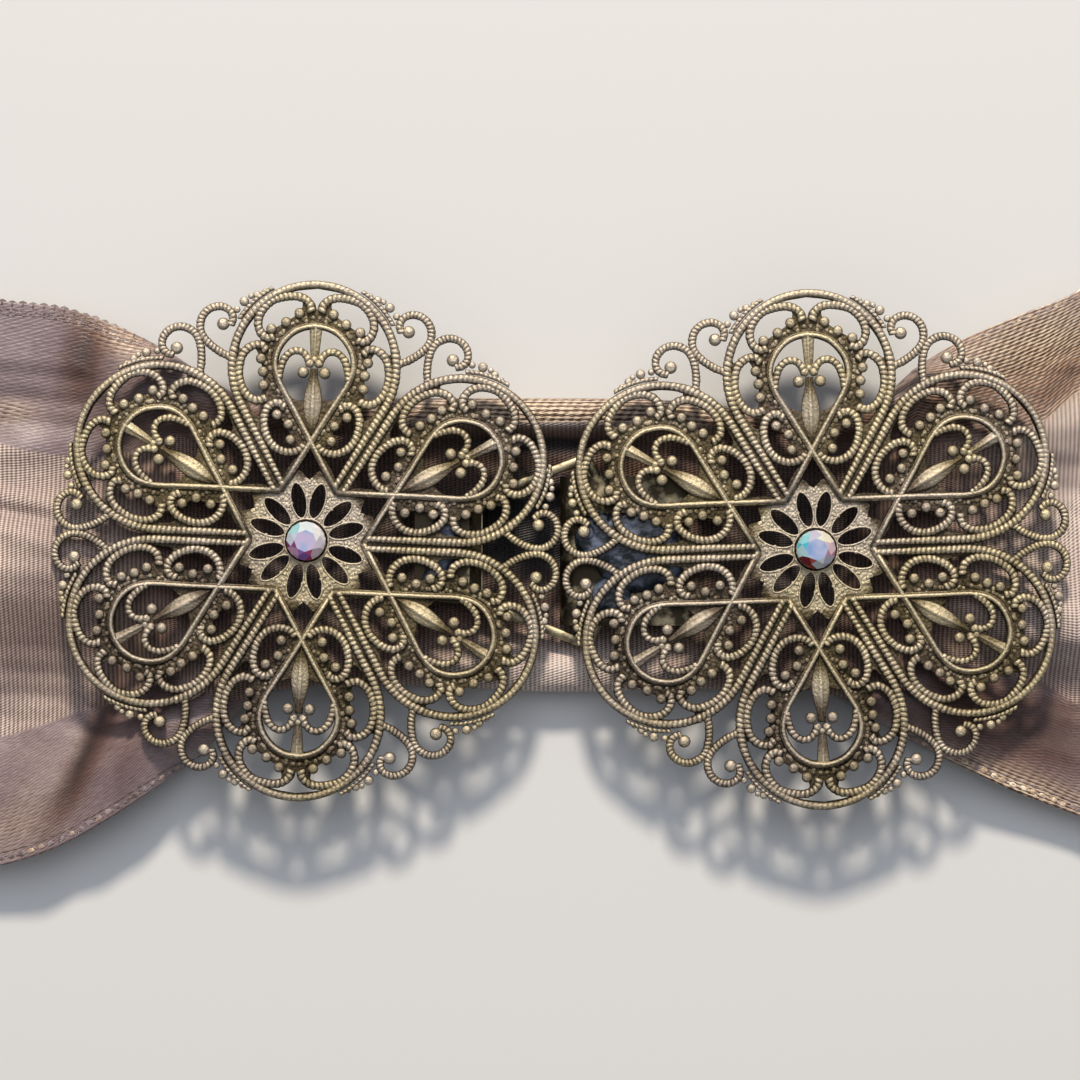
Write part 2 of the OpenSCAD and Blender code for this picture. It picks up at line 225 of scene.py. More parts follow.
class Pile:
    """Points and faces of one piece, gathered from many small forms, and how far the patina is
    rubbed off at each point."""

    def __init__(self):
        self.points, self.faces, self.relief = [], [], []
        self.count = 0

    def add(self, points, faces, relief, mirror=False):
        """Adds a form, and its image on the other side of the petal's axis if asked."""
        points = np.asarray(points, float)
        self.points.append(points)
        self.relief.append(np.broadcast_to(np.asarray(relief, float), (len(points),)))
        self.faces += [[i + self.count for i in face] for face in faces]
        self.count += len(points)
        if mirror:
            self.add(points * [-1, 1, 1], [face[::-1] for face in faces], relief)

    def all_round(self):
        """The pile repeated once for each petal."""
        ring = Pile()
        points = np.vstack(self.points)
        for plan in turned_copies(points[:, :2]):
            ring.add(np.column_stack([plan, points[:, 2]]), self.faces, np.concatenate(self.relief))
        return ring

    def piece(self, name, material, **kept):
        """The pile as a mesh object."""
        relief = np.concatenate(self.relief)
        return mesh_piece(name, np.vstack(self.points), self.faces, material, {"relief": relief}, **kept)


# Sections across a strip: place from -1 to 1, height from 0 to 1, and how bright it is rubbed
ROUND = [(-1, 0, 0), (-0.95, 0.5, 0.5), (-0.64, 0.9, 0.9), (0, 1, 1), (0.64, 0.9, 0.9), (0.95, 0.5, 0.5),
         (1, 0, 0)]
GROOVED = [(-1, 0, 0), (-0.88, 0.66, 0.66), (-0.4, 1, 1), (0.12, 0.94, 0.94), (0.4, 0.7, 0.49),
           (0.56, 0.72, 0.504), (0.84, 0.66, 0.66), (1, 0, 0)]
VEINED = [(-1, 0, 0.35), (-0.86, 0.5, 0.85), (-0.55, 0.48, 0.83), (-0.2, 0.72, 1), (0, 1, 1),
          (0.2, 0.72, 1), (0.55, 0.48, 0.83), (0.86, 0.5, 0.85), (1, 0, 0.35)]
FOOT = 0.92


def strip(pile, line, section, wide, low, high, top, scale=None, mirror=True, slant=0):
    """A strip with one section along a line, from its low underside over its shoulders at high.

    scale gives for each point of the line the width's and the height's share, and slant how far
    the section's right side is ahead of its middle."""
    way = unit(np.gradient(line, axis=0))
    side = np.column_stack([-way[:, 1], way[:, 0]])
    share = np.ones((len(line), 2)) if scale is None else scale
    rings, relief = [], []
    for across, rise, tone in [(-FOOT, None, 0), *section, (FOOT, None, 0)]:
        off = across * wide / 2 * share[:, :1]
        z = np.full(len(line), low) if rise is None else high + rise * top * share[:, 1]
        rings.append(np.column_stack([line + side * off + way * slant * across, z]))
        relief.append(tone * share[:, 1] ** 2)
    sides, count = len(rings), len(line) * len(rings)
    ends = [list(range(sides))[::-1], list(range(count - sides, count))]
    pile.add(np.stack(rings, axis=1).reshape(-1, 3), belt(len(line), sides) + ends,
             np.stack(relief, axis=1).ravel(), mirror)


# One bead of a rope: how far along it, then its width's and its height's share
BEAD = np.array([(0.0, 0.88, 0.76), (0.14, 0.95, 0.91), (0.34, 1.0, 1.0), (0.66, 1.0, 1.0),
                 (0.86, 0.95, 0.91)])
BEAD_SIZES = (0.94, 1.04)
BEAD_SLANT = 0.08
# How much of a bead's nip is lost where a rope is rubbed smooth, and of its width and height
RUBBED_NIP = 0.6
RUBBED_SIZE = (0.16, 0.04)


def rope(pile, line, wide, low, high, top, pitch, mirror=True, worn=None, widths=None):
    """A beaded rope: a round strip that is nipped in between its beads.

    worn gives from 0 to 1 how far each point of the line is rubbed smooth, and widths what
    share of the width it has."""
    run = along(line)
    beads = max(2, round(run[-1] / pitch))
    at = np.append((np.arange(beads)[:, None] + BEAD[:, 0]) / beads, 1.0) * run[-1]
    # Each bead is struck and rubbed a little differently
    sizes = np.random.default_rng(beads).uniform(*BEAD_SIZES, (beads, 1, 2))
    share = np.vstack([(BEAD[:, 1:] * sizes).reshape(-1, 2), BEAD[0, 1:]])
    if worn is not None:
        rubbed = np.interp(at, run, worn)[:, None]
        share = (1 - (1 - share) * (1 - RUBBED_NIP * rubbed)) * (1 - rubbed * RUBBED_SIZE)
    if widths is not None:
        share[:, 0] *= np.interp(at, run, widths)
    strip(pile, between(at, run, line), ROUND, wide, low, high, top, share, mirror, BEAD_SLANT)


def dome(pile, x, y, radius, low, high, top, mirror=True, sides=12, bright=1.0):
    """A granule: a short post under a half round, whose top is rubbed as bright as given."""
    rows = [(0.9, low, 0), (1.0, high, 0.22), (0.96, high + 0.45 * top, 0.58), (0.8, high + 0.8 * top, 0.95),
            (0.46, high + 0.96 * top, 1)]
    last = (len(rows) - 1) * sides
    points = [(x + radius * share * math.cos(a), y + radius * share * math.sin(a), z)
              for share, z, tone in rows for a in np.arange(sides) * math.tau / sides]
    relief = np.repeat([tone * bright for share, z, tone in rows], sides)
    faces = belt(len(rows), sides) + [[last + j, last + (j + 1) % sides, last + sides] for j in range(sides)]
    pile.add(points + [(x, y, high + top)], faces + [list(range(sides))[::-1]], np.append(relief, bright),
             mirror and abs(x) > 0.01)


# The petal's drawing: across from its axis, and out from the medallion's centre
END_CENTRE = (0, 17.47)
END_R = 8.23
ROPE_OFF = 0.505
ROPE_FROM = 6.0
STAR_TIP = 9.86
STAR_INNER = 5.69

TEARDROP = [(-1.5, 12.45), (-2.6, 14.3), (-3.55, 16.0), (-3.98, 17.7), (-3.6, 19.3), (-2.5, 20.7),
            (-1.25, 21.4), (0, 21.6)]
SCROLLS = [
    [(2.7, 13.2), (3.4, 13.7), (4.3, 13.4), (4.75, 12.4), (4.7, 11.2), (4.3, 10.1), (3.5, 9.2), (2.4, 8.8),
     (1.3, 9.0), (0.6, 9.6)],
    [(4.85, 18.8), (5.3, 19.4), (6.3, 19.3), (7.15, 18.5), (7.5, 17.2), (7.4, 15.8), (6.75, 14.5),
     (5.7, 13.85), (4.6, 14.15)],
    [(4.1, 20.3), (4.9, 20.15), (5.6, 20.8), (5.8, 21.9), (5.3, 23.1), (4.3, 24.0), (2.9, 24.4),
     (1.6, 24.35), (0.75, 23.8), (0.5, 22.9)],
]
GRANULES = [
    (3.5, 12.5), (2.3, 11.6), (2.05, 10.05),
    (5.35, 18.05), (5.1, 16.75), (5.0, 15.4),
    (4.45, 21.05), (3.0, 21.8), (1.7, 22.75),
]
# A fine grain runs round the teardrop between its wire and the granules
FINE_LINE = [(0.85, 10.3), (2.15, 12.45), (3.3, 14.4), (4.2, 15.9), (4.65, 17.6), (4.3, 19.5), (3.2, 21.0),
             (1.7, 21.95), (0.35, 22.25)]
FINE_STEP = 0.33
FINE_STRAY = 0.26
FINE_RADII = (0.2, 0.32)
FINE_TOPS = (0.1, 0.18)
FINE_TONES = (0.45, 0.8)
HEART = [(3.5, 16.1), (3.35, 17.2), (2.95, 18.3), (2.15, 18.95), (1.3, 18.9), (0.75, 18.35), (0.45, 17.6)]
# The stem's two leaves: their middle line, its half widths and how high they stand
LEAVES = [
    ([(0, 10.6), (0, 11.6), (0, 12.5), (0, 13.4), (0, 14.4), (0, 15.4), (0, 16.4), (0, 17.3)],
     [0.14, 0.5, 0.8, 0.95, 0.92, 0.72, 0.45, 0.4], 0.6),
    ([(0, 18.3), (0, 18.9), (0, 20.2), (0, 21.2), (0, 21.75)], [0.4, 0.46, 0.56, 0.64, 0.66], 0.45),
]
KNOBS = [(1.08, 16.85, 0.6), (0.42, 17.75, 0.42), (0.55, 18.35, 0.3), (0, 18.2, 0.36)]
CURL = [(8.5, 18.1), (9.5, 18.55), (10.7, 19.4), (11.5, 20.5), (11.5, 21.8), (10.8, 22.75), (9.7, 23.1),
        (8.75, 22.75), (8.35, 21.95), (8.6, 21.2)]
CURL_BALL = (9.3, 21.35, 0.64)
EDGE_LINE = (END_CENTRE, 8.92, 30, 60)
EDGE_GRAINS = [(7.3, 23.7, 0.5), (6.05, 24.4, 0.42), (6.65, 24.25, 0.3), (8.0, 22.85, 0.36),
               (8.35, 22.2, 0.3), (5.3, 24.75, 0.3)]

# Gaps through the sheet on one side of the petal's axis
SIDE_GAPS = [
    [(4.15, 13.2), (4.6, 12.2), (4.5, 11.2), (4.1, 10.2), (3.3, 9.4), (2.3, 9.05), (1.55, 9.4), (2.05, 10.3),
     (2.5, 11.4), (3.4, 12.4)],
    [(6.1, 19.1), (6.95, 18.4), (7.3, 17.2), (7.2, 15.8), (6.55, 14.6), (5.5, 14.15), (5.05, 15.2),
     (5.15, 16.7), (5.45, 18.0)],
    [(5.35, 20.9), (5.5, 22.0), (5.0, 23.0), (4.1, 23.8), (2.8, 24.15), (1.5, 23.9), (1.75, 22.85),
     (3.05, 21.85), (4.4, 21.05)],
    [(5.75, 22.7), (6.9, 21.1), (7.6, 19.3), (7.3, 19.0), (6.4, 19.65), (5.5, 19.85), (6.0, 20.7),
     (6.1, 21.8)],
    [(6.85, 14.25), (6.1, 13.9), (5.2, 13.55), (4.95, 13.0), (5.1, 12.3), (5.85, 12.55)],
    [(4.25, 9.6), (3.5, 8.85), (2.4, 8.4), (1.45, 8.45), (2.2, 7.2), (2.9, 5.95), (3.6, 7.6)],
]
# Gaps on the axis: one half, from the inner end to the outer one
AXIS_GAPS = [
    [(0, 6.15), (0.35, 6.45), (0.9, 7.0), (1.3, 6.95), (1.6, 6.6), (0.9, 7.85), (0, 9.3)],
    [(0, 13.7), (1.2, 13.9), (2.35, 14.5), (3.25, 16.2), (3.62, 17.7), (3.3, 19.1), (2.3, 20.4),
     (1.1, 21.05), (0, 21.2)],
    [(0, 23.1), (0.35, 24.0), (1.5, 24.65), (3.2, 24.5), (3.75, 24.3), (2.3, 24.95), (0, 25.3)],
]
FLOWER_R = 6.4
LENS_REACH = 4.12
LENS_LONG = 3.5
LENS_WIDE = 1.4
LENS_OFF = math.radians(13.2)
# The flower's grains: how many are tried, where they begin, how far they stay from the middle line
# of a hole and where the star's side ends them, and their radii
GRAINS_TRIED = 46
GRAINS_FROM = 2.5
GRAINS_OFF_HOLE = 0.78
GRAINS_WITHIN = 5.2
GRAIN_RADII = (0.14, 0.22)


def lens_outline(grow=0.0):
    """A pointed oval hole of the flower, on the side of positive X."""
    t = np.linspace(0, math.tau, 24, endpoint=False)
    shape = np.column_stack([(LENS_WIDE / 2 + grow) * np.sin(t) * np.abs(np.sin(t)) ** 0.1,
                             (LENS_LONG / 2 + grow) * np.cos(t) + LENS_REACH])
    c, s = math.cos(-LENS_OFF), math.sin(-LENS_OFF)
    return shape @ np.array([[c, s], [-s, c]])


def petal_outline():
    """The middle line of a petal's outer rope, from one straight run round to the other."""
    dx, dy = math.sin(SECTOR / 2), math.cos(SECTOR / 2)
    foot = np.array([dx * ROPE_FROM - dy * ROPE_OFF, dy * ROPE_FROM + dx * ROPE_OFF])
    return np.vstack([foot, arc(END_CENTRE, END_R, -30, 210, 3), mirrored(foot)])


def anticlockwise(outline):
    """The same outline, run through so that its inside is on the left."""
    x, y = outline[:, 0], outline[:, 1]
    area = np.sum(x * np.roll(y, -1) - y * np.roll(x, -1))
    return outline if area > 0 else outline[::-1]


def sheet_gaps():
    """Every gap through the sheet, as closed outlines."""
    outlines = []
    for side in (lens_outline(), *(curve_through(gap, 4, closed=True) for gap in SIDE_GAPS)):
        outlines += [*turned_copies(side), *turned_copies(mirrored(side))]
    for gap in AXIS_GAPS:
        half = curve_through(gap, 4)
        outlines += turned_copies(np.vstack([half, mirrored(half)[-2:0:-1]]))
    return outlines


def pierced_sheet(look):
    """The sheet with its gaps, triangulated between the drawn outlines, with a worn edge. Its outer
    edge lies under the middle of the outer ropes."""
    rim = np.vstack(list(turned_copies(arc(END_CENTRE, END_R, -30, 210, 5))))
    outlines = [anticlockwise(outline) for outline in (rim, *sheet_gaps())]
    firsts = np.cumsum([0] + [len(outline) for outline in outlines])
    loops = [list(range(first, end)) for first, end in zip(firsts, firsts[1:])]
    corners, _, faces, _, _, sources = delaunay_2d_cdt(
        [Vector(point) for outline in outlines for point in outline], [], loops, 0, 1e-4, True)
    kept = [face for face, source in zip(faces, sources) if source == [0]]
    flat = np.array([tuple(corner) for corner in corners])
    sides = {}
    for face in kept:
        for a, b in zip(face, face[1:] + face[:1]):
            if sides.pop((b, a), None) is None:
                sides[a, b] = True
    # The edge is drawn in by the mean of the outward ways of the two sides that meet in a corner
    push = np.zeros_like(flat)
    for a, b in sides:
        way = flat[b] - flat[a]
        out = np.array([way[1], -way[0]]) / max(np.linalg.norm(way), 1e-6)
        push[a] += out
        push[b] += out
    push /= np.maximum(np.linalg.norm(push, axis=1), 1e-6)[:, None]
    thick, soft, count = look.plate_thick / MM, 0.06, len(flat)
    # How far the edge is drawn in, how high up and how bright it is rubbed
    levels = [(-soft, 0.0, 0.1), (0.0, soft, 0.15), (0.0, thick - soft, 0.42), (-soft, thick, 0.45)]
    points = np.vstack([np.column_stack([flat + grow * push, np.full(count, z)]) for grow, z, tone in levels])
    # The flower is rubbed brighter than the rest of the sheet
    in_flower = np.tile(np.linalg.norm(flat, axis=1) < FLOWER_R, len(levels))
    relief = np.repeat([tone for grow, z, tone in levels], count) + 0.48 * in_flower
    shapes = [[a + 3 * count for a in face] for face in kept] + [list(face)[::-1] for face in kept]
    shapes += [[a + k, b + k, b + k + count, a + k + count]
               for a, b in sides for k in (0, count, 2 * count)]
    used = sorted({corner for shape in shapes for corner in shape})
    place = {corner: i for i, corner in enumerate(used)}
    pile = Pile()
    pile.add(points[used], [[place[corner] for corner in shape] for shape in shapes], relief[used])
    return pile


# Where forms of the medallion overlap, each underside has a height of its own

def medallion_ropes(look):
    """The outer ropes and the curls between the petals."""
    pile = Pile()
    plate, wide, top, pitch = (size / MM for size in (
        look.plate_thick, look.rope_wide, look.rope_high, look.bead_pitch))
    outline = petal_outline()
    reach = np.linalg.norm(outline, axis=1)
    # The ropes grow thinner where they run straight towards the middle, and are rubbed smooth
    # there and at the top of their arcs
    widths = np.interp(reach, (6.0, 14.5), (0.72, 1.0))
    way_up = np.clip((outline[:, 1] - END_CENTRE[1]) / END_R, 0, 1)
    rubbed = np.maximum(np.clip(1.6 * way_up - 0.3, 0, 1),
                        np.interp(reach, (7, 9, 12.5, 15), (0.2, 0.7, 0.7, 0)))
    rope(pile, outline, wide, low=0.03, high=plate, top=top, pitch=pitch, mirror=False, worn=rubbed,
         widths=widths)
    rope(pile, curve_through(CURL), 0.88 * wide, low=0.06, high=plate - 0.05, top=0.9 * top,
         pitch=0.8 * pitch)
    rope(pile, arc(*EDGE_LINE), wide=0.46, low=0.045, high=plate - 0.05, top=0.34, pitch=0.46)
    dome(pile, *CURL_BALL, low=0.08, high=plate - 0.1, top=0.6)
    for x, y, radius in EDGE_GRAINS:
        dome(pile, x, y, radius, low=0.1 + 0.1 * radius, high=plate - 0.15, top=0.85 * radius)
    return pile.all_round()


def medallion_scrolls(look):
    """The finer ropes that curl inside each petal, and the heart in its teardrop."""
    pile = Pile()
    plate, top, fine = look.plate_thick / MM, 0.9 * look.rope_high / MM, 0.94 * look.bead_pitch / MM
    for points in SCROLLS:
        rope(pile, curve_through(points), wide=0.9, low=0.045, high=plate, top=top, pitch=fine)
    rope(pile, curve_through(HEART), wide=0.8, low=0.055, high=plate - 0.02, top=top, pitch=fine)
    return pile.all_round()


def medallion_wires(look):
    """The star's grooved wires, which run on round the teardrops, and the stem with its leaves."""
    pile = Pile()
    plate, tip = look.plate_thick / MM, np.array([0, STAR_TIP])
    inner = STAR_INNER * np.array([math.sin(SECTOR / 2), math.cos(SECTOR / 2)])
    side = curve_through(TEARDROP)
    line = np.vstack([inner, (inner + tip) / 2, tip, side, mirrored(side)[-2::-1], tip,
                      mirrored((inner + tip) / 2), mirrored(inner)])
    strip(pile, line, GROOVED, look.wire_wide / MM, low=0.02, high=plate, top=0.42, mirror=False)
    for points, halves, high in LEAVES:
        spine = curve_through(points)
        share = np.interp(along(spine), along(np.array(points, float)), halves)
        scale = np.column_stack([share, 0.45 + 0.55 * share / max(halves)])
        strip(pile, spine, VEINED, wide=2, low=0.12 * high, high=plate - 0.05, top=high, scale=scale,
              mirror=False)
    return pile.all_round()


def medallion_granules(look):
    """The balls beside the scrolls and at the heart's foot, and the fine grain round the teardrop."""
    pile = Pile()
    plate, radius = look.plate_thick / MM, look.granule / MM
    for x, y in GRANULES:
        dome(pile, x, y, radius, low=0.11, high=plate + 0.02, top=0.8 * radius, bright=0.78)
    order = np.random.default_rng(3)
    line = curve_through(FINE_LINE)
    run = along(line)
    for at in np.arange(0.2, run[-1], FINE_STEP):
        x, y = (np.interp(at, run, line[:, i]) + order.uniform(-FINE_STRAY, FINE_STRAY) for i in (0, 1))
        dome(pile, x, y, radius=order.uniform(*FINE_RADII), low=0.14 + 0.02 * math.sin(9 * at),
             high=plate - 0.03, top=order.uniform(*FINE_TOPS), sides=7, bright=order.uniform(*FINE_TONES))
    for x, y, radius in KNOBS:
        dome(pile, x, y, radius, low=0.1 + 0.1 * radius, high=plate, top=0.95 * radius, bright=0.85)
    return pile.all_round()


def medallion_flower(look):
    """Thin rims round the flower's holes, the grain between them and the crystal's low seat."""
    pile = Pile()
    plate = look.plate_thick / MM
    rim = lens_outline(grow=0.09)
    strip(pile, np.vstack([rim, rim[:2]]), ROUND, wide=0.2, low=plate - 0.2, high=plate, top=0.1)
    # Grains stand on the plate between the holes and out to the star's inner corners
    order = np.random.default_rng(7)
    for _ in range(GRAINS_TRIED):
        reach = order.uniform(GRAINS_FROM, FLOWER_R)
        turn = order.uniform(-SECTOR / 2, SECTOR / 2)
        off_hole = abs(abs(turn) - LENS_OFF) * reach > GRAINS_OFF_HOLE
        if off_hole and reach * math.cos(SECTOR / 2 - abs(turn)) < GRAINS_WITHIN:
            dome(pile, reach * math.sin(turn), reach * math.cos(turn), radius=order.uniform(*GRAIN_RADII),
                 low=plate - 0.15, high=plate, top=0.1, mirror=False, sides=7)
    ring = pile.all_round()
    # The seat, then a low inner ring with little relief, kept dark as a painted shadow in the narrow channel
    # between the seat and the crystal
    for radius, wide, deep, bright in ((2.22, 0.22, 0.2, 1), (2.04, 0.2, 0.1, 0.5)):
        line = arc((0, 0), radius, 0, 366, 6)
        strip(ring, line, ROUND, wide, low=plate - deep, high=plate, top=0.14,
              scale=np.full((len(line), 2), (1, bright)), mirror=False)
    return ring


# Drops of glue: where, how wide and what share of the way up to the medallion
GLUE = {
    "glue_left": [(-10, 2, 2.2, 1.0), (-9.4, 4.6, 1.5, 0.9), (-10.2, -0.6, 1.6, 0.8), (-8.7, 3.2, 0.9, 1.0)],
    "glue_right": [(9.6, 2.4, 4.4, 1.0), (5.9, 3.4, 2.4, 0.8), (12.2, 0.8, 2.5, 0.8), (7.2, -2.2, 2.0, 0.7),
                   (4.7, 4.1, 0.95, 1.0), (7.6, 1.7, 1.0, 1.0), (4.6, 2.1, 0.8, 0.6), (6.3, 5.3, 0.8, 0.8)],
}


def glue_lumps(solid):
    """Drops of glue that have run together, each a low dome."""
    pile = Pile()
    low, high = (corner.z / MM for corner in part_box(solid))
    for x, y, radius, share in GLUE[solid]:
        rise = (high - low) * share
        dome(pile, x, y, radius, low, high=low + 0.3 * rise, top=0.7 * rise, mirror=False, sides=28)
    return pile


# The frame's long bars: their middle line on the upper side, and their thickness
FRAME_BARS = [(-5.6, 5.4), (-3.0, 6.4), (0.5, 7.77), (3.6, 8.97), (4.3, 9.1), (4.95, 8.85), (5.45, 8.0),
              (5.95, 6.6)]
BAR_THICK = 0.8


def frame_bars():
    """The rounded upper face of the frame's two long bars, which its stamping rolled over."""
    pile = Pile()
    low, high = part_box("eye_frame")
    middle, base = (low.y + high.y) / 2 / MM, low.z / MM
    for side in (1, -1):
        line = curve_through([(x, middle + side * y) for x, y in FRAME_BARS])
        strip(pile, line, ROUND, wide=1.0, low=base + 0.05, high=base + BAR_THICK - 0.02, top=0.3,
              mirror=False)
    return pile


# Materials

def wire(owner, made, settings):
    """Sets a node's values, and links a socket whose value is another node or one of its outputs."""
    for name, value in settings.items():
        if isinstance(value, bpy.types.Node):
            value = value.outputs[0]
        if isinstance(value, bpy.types.NodeSocket):
            owner.node_tree.links.new(value, made.inputs[name])
        elif isinstance(name, str) and hasattr(made, name):
            setattr(made, name, value)
        else:
            made.inputs[name].default_value = value


def node(owner, kind, settings, stops=()):
    """Adds a node to a material or the world with its settings and links, and a ramp's stops."""
    made = owner.node_tree.nodes.new("ShaderNode" + kind)
    wire(owner, made, settings)
    for i, (position, colour) in enumerate(stops):
        elements = made.color_ramp.elements
        element = elements[i] if i < len(elements) else elements.new(1.0)
        element.position, element.color = position, colour
    return made


def new_material(name, settings):
    """A material with one Principled shader and its settings; returns both."""
    material = bpy.data.materials.new(name)
    material.use_nodes = True
    shader = material.node_tree.nodes["Principled BSDF"]
    wire(material, shader, settings)
    return material, shader


def antiqued_brass(name, look, grain_mm=0.0, tone=0.0):
    """Stamped brass, dipped dark and rubbed back: bright on what stands up, brown-black between,
    with a slow change from olive to grey brown where the patina is thicker."""
    material, shader = new_material(name, {"Metallic": 1.0})
    place = node(material, "TexCoord", {}).outputs["Object"]
    relief = node(material, "Attribute", {"attribute_name": "relief"}).outputs["Fac"]
    cloud = node(material, "TexNoise", {
        "Vector": place, "Scale": 1 / (4 * MM), "Detail": 5, "Roughness": 0.6})
    slow = node(material, "TexNoise", {"Vector": place, "Scale": 1 / (13 * MM), "Detail": 2})
    # The real specks are finer than the picture shows, so they are drawn a quarter millimetre apart
    speck = node(material, "TexNoise", {"Vector": place, "Scale": 1 / (0.25 * MM), "Detail": 3})
    worn = node(material, "Math", {"operation": "MULTIPLY_ADD", 0: cloud, 1: 0.6, 2: relief})
    worn = node(material, "Math", {"operation": "MULTIPLY_ADD", 0: speck, 1: 0.55, 2: worn})
    # Painted shade: the medallion is darker towards its lower petals, on the side away from the key light
    axes = node(material, "SeparateXYZ", {0: place})
    kept = node(material, "MapRange", {
        "Value": axes.outputs["Y"], "From Min": -26 * MM, "From Max": 26 * MM,
        "To Min": tone - 0.69, "To Max": tone - 0.5})
    level = node(material, "Math", {"operation": "ADD", 0: worn, 1: kept})
    cool = node(material, "ValToRGB", {"Fac": level}, [
        (0.12, look.recess), (0.5, look.grey), (0.95, look.worn)])
    warm = node(material, "ValToRGB", {"Fac": level}, [
        (0.12, look.recess), (0.5, look.olive), (0.95, look.bright)])
    blend = node(material, "MapRange", {"Value": slow, "From Min": 0.42, "From Max": 0.58})
    colour = node(material, "Mix", {"data_type": "RGBA", 0: blend, 6: cool, 7: warm})
    rough = node(material, "MapRange", {"Value": level, "To Min": 0.85, "To Max": 0.6})
    bump = node(material, "Bump", {"Strength": 0.9, "Distance": 0.11 * MM, "Height": speck})
    if grain_mm:
        grains = node(material, "TexVoronoi", {"Vector": place, "Scale": 1 / (grain_mm * MM)})
        wire(material, bump, {"Distance": 0.1 * MM, "Height": grains, "invert": True})
    wire(material, shader, {"Base Color": colour.outputs[2], "Roughness": rough, "Normal": bump})
    return material


def sheet_brass(name, main, marks, roughness):
    """Rolled brass sheet under antique lacquer: dull, with rubbed patches and fine rolling lines."""
    material, shader = new_material(name, {"Metallic": 1.0})
    place = node(material, "TexCoord", {}).outputs["Object"]
    cloud = node(material, "TexNoise", {
        "Vector": place, "Scale": 1 / (2.2 * MM), "Detail": 5, "Roughness": 0.65})
    stretched = node(material, "VectorMath", {
        "operation": "MULTIPLY", 0: place, 1: (1 / (4 * MM), 1 / (0.2 * MM), 1)})
    lines = node(material, "TexNoise", {"Vector": stretched, "Scale": 1, "Detail": 2})
    # The sheet is darker towards the left, where it lies under the left medallion
    axes = node(material, "SeparateXYZ", {0: place})
    rubbed = node(material, "MapRange", {
        "Value": axes.outputs["X"], "From Min": -8.5 * MM, "From Max": -6 * MM, "To Min": -0.4, "To Max": 0})
    level = node(material, "Math", {"operation": "ADD", 0: cloud, 1: rubbed})
    colour = node(material, "ValToRGB", {"Fac": level}, [(0.34, marks), (0.5, main)])
    rough = node(material, "MapRange", {"Value": cloud, "To Min": roughness + 0.12, "To Max": roughness})
    bump = node(material, "Bump", {"Strength": 0.35, "Distance": 0.03 * MM, "Height": lines})
    wire(material, shader, {"Base Color": colour, "Roughness": rough, "Normal": bump})
    return material


def dried_glue(look):
    """Two-part epoxy, set in lumps: slate blue and glossy, darkened as painted shade, with a painted
    highlight where it stands up.
    """
    material, shader = new_material("set_epoxy", {"Roughness": 0.28, "Coat Weight": 0.3})
    place = node(material, "TexCoord", {}).outputs["Object"]
    lumps = node(material, "TexNoise", {"Vector": place, "Scale": 1 / (1.6 * MM), "Detail": 3})
    relief = node(material, "Attribute", {"attribute_name": "relief"}).outputs["Fac"]
    # Painted highlight: the drops are paler towards their tops, as well as on random lumps
    level = node(material, "Math", {"operation": "MULTIPLY_ADD", 0: relief, 1: 0.16, 2: lumps})
    colour = node(material, "ValToRGB", {"Fac": level}, [
        (0.45, look.glue_deep), (0.62, look.glue), (0.74, look.glue_pale_and_highlight)])
    bump = node(material, "Bump", {"Strength": 0.8, "Distance": 0.5 * MM, "Height": lumps})
    wire(material, shader, {"Base Color": colour, "Normal": bump})
    return material


def picot_yarn(look):
    """Twisted polyester yarn at the ribbon's edges: small matt beads with a faint sparkle."""
    material, shader = new_material("picot_yarn", {"Roughness": 0.45, "Sheen Weight": 0.3})
    place = node(material, "TexCoord", {}).outputs["Object"]
    cloud = node(material, "TexNoise", {"Vector": place, "Scale": 1 / (0.6 * MM), "Detail": 2})
    relief = node(material, "Attribute", {"attribute_name": "relief"}).outputs["Fac"]
    level = node(material, "Math", {"operation": "MULTIPLY_ADD", 0: relief, 1: 0.7, 2: cloud})
    level = node(material, "Math", {"operation": "SUBTRACT", 0: level, 1: 0.15})
    colour = node(material, "ValToRGB", {"Fac": level}, [
        (0.25, look.thread), (0.65, look.satin), (0.86, look.tan), (1.0, look.tan_light)])
    wire(material, shader, {"Base Color": colour})
    return material


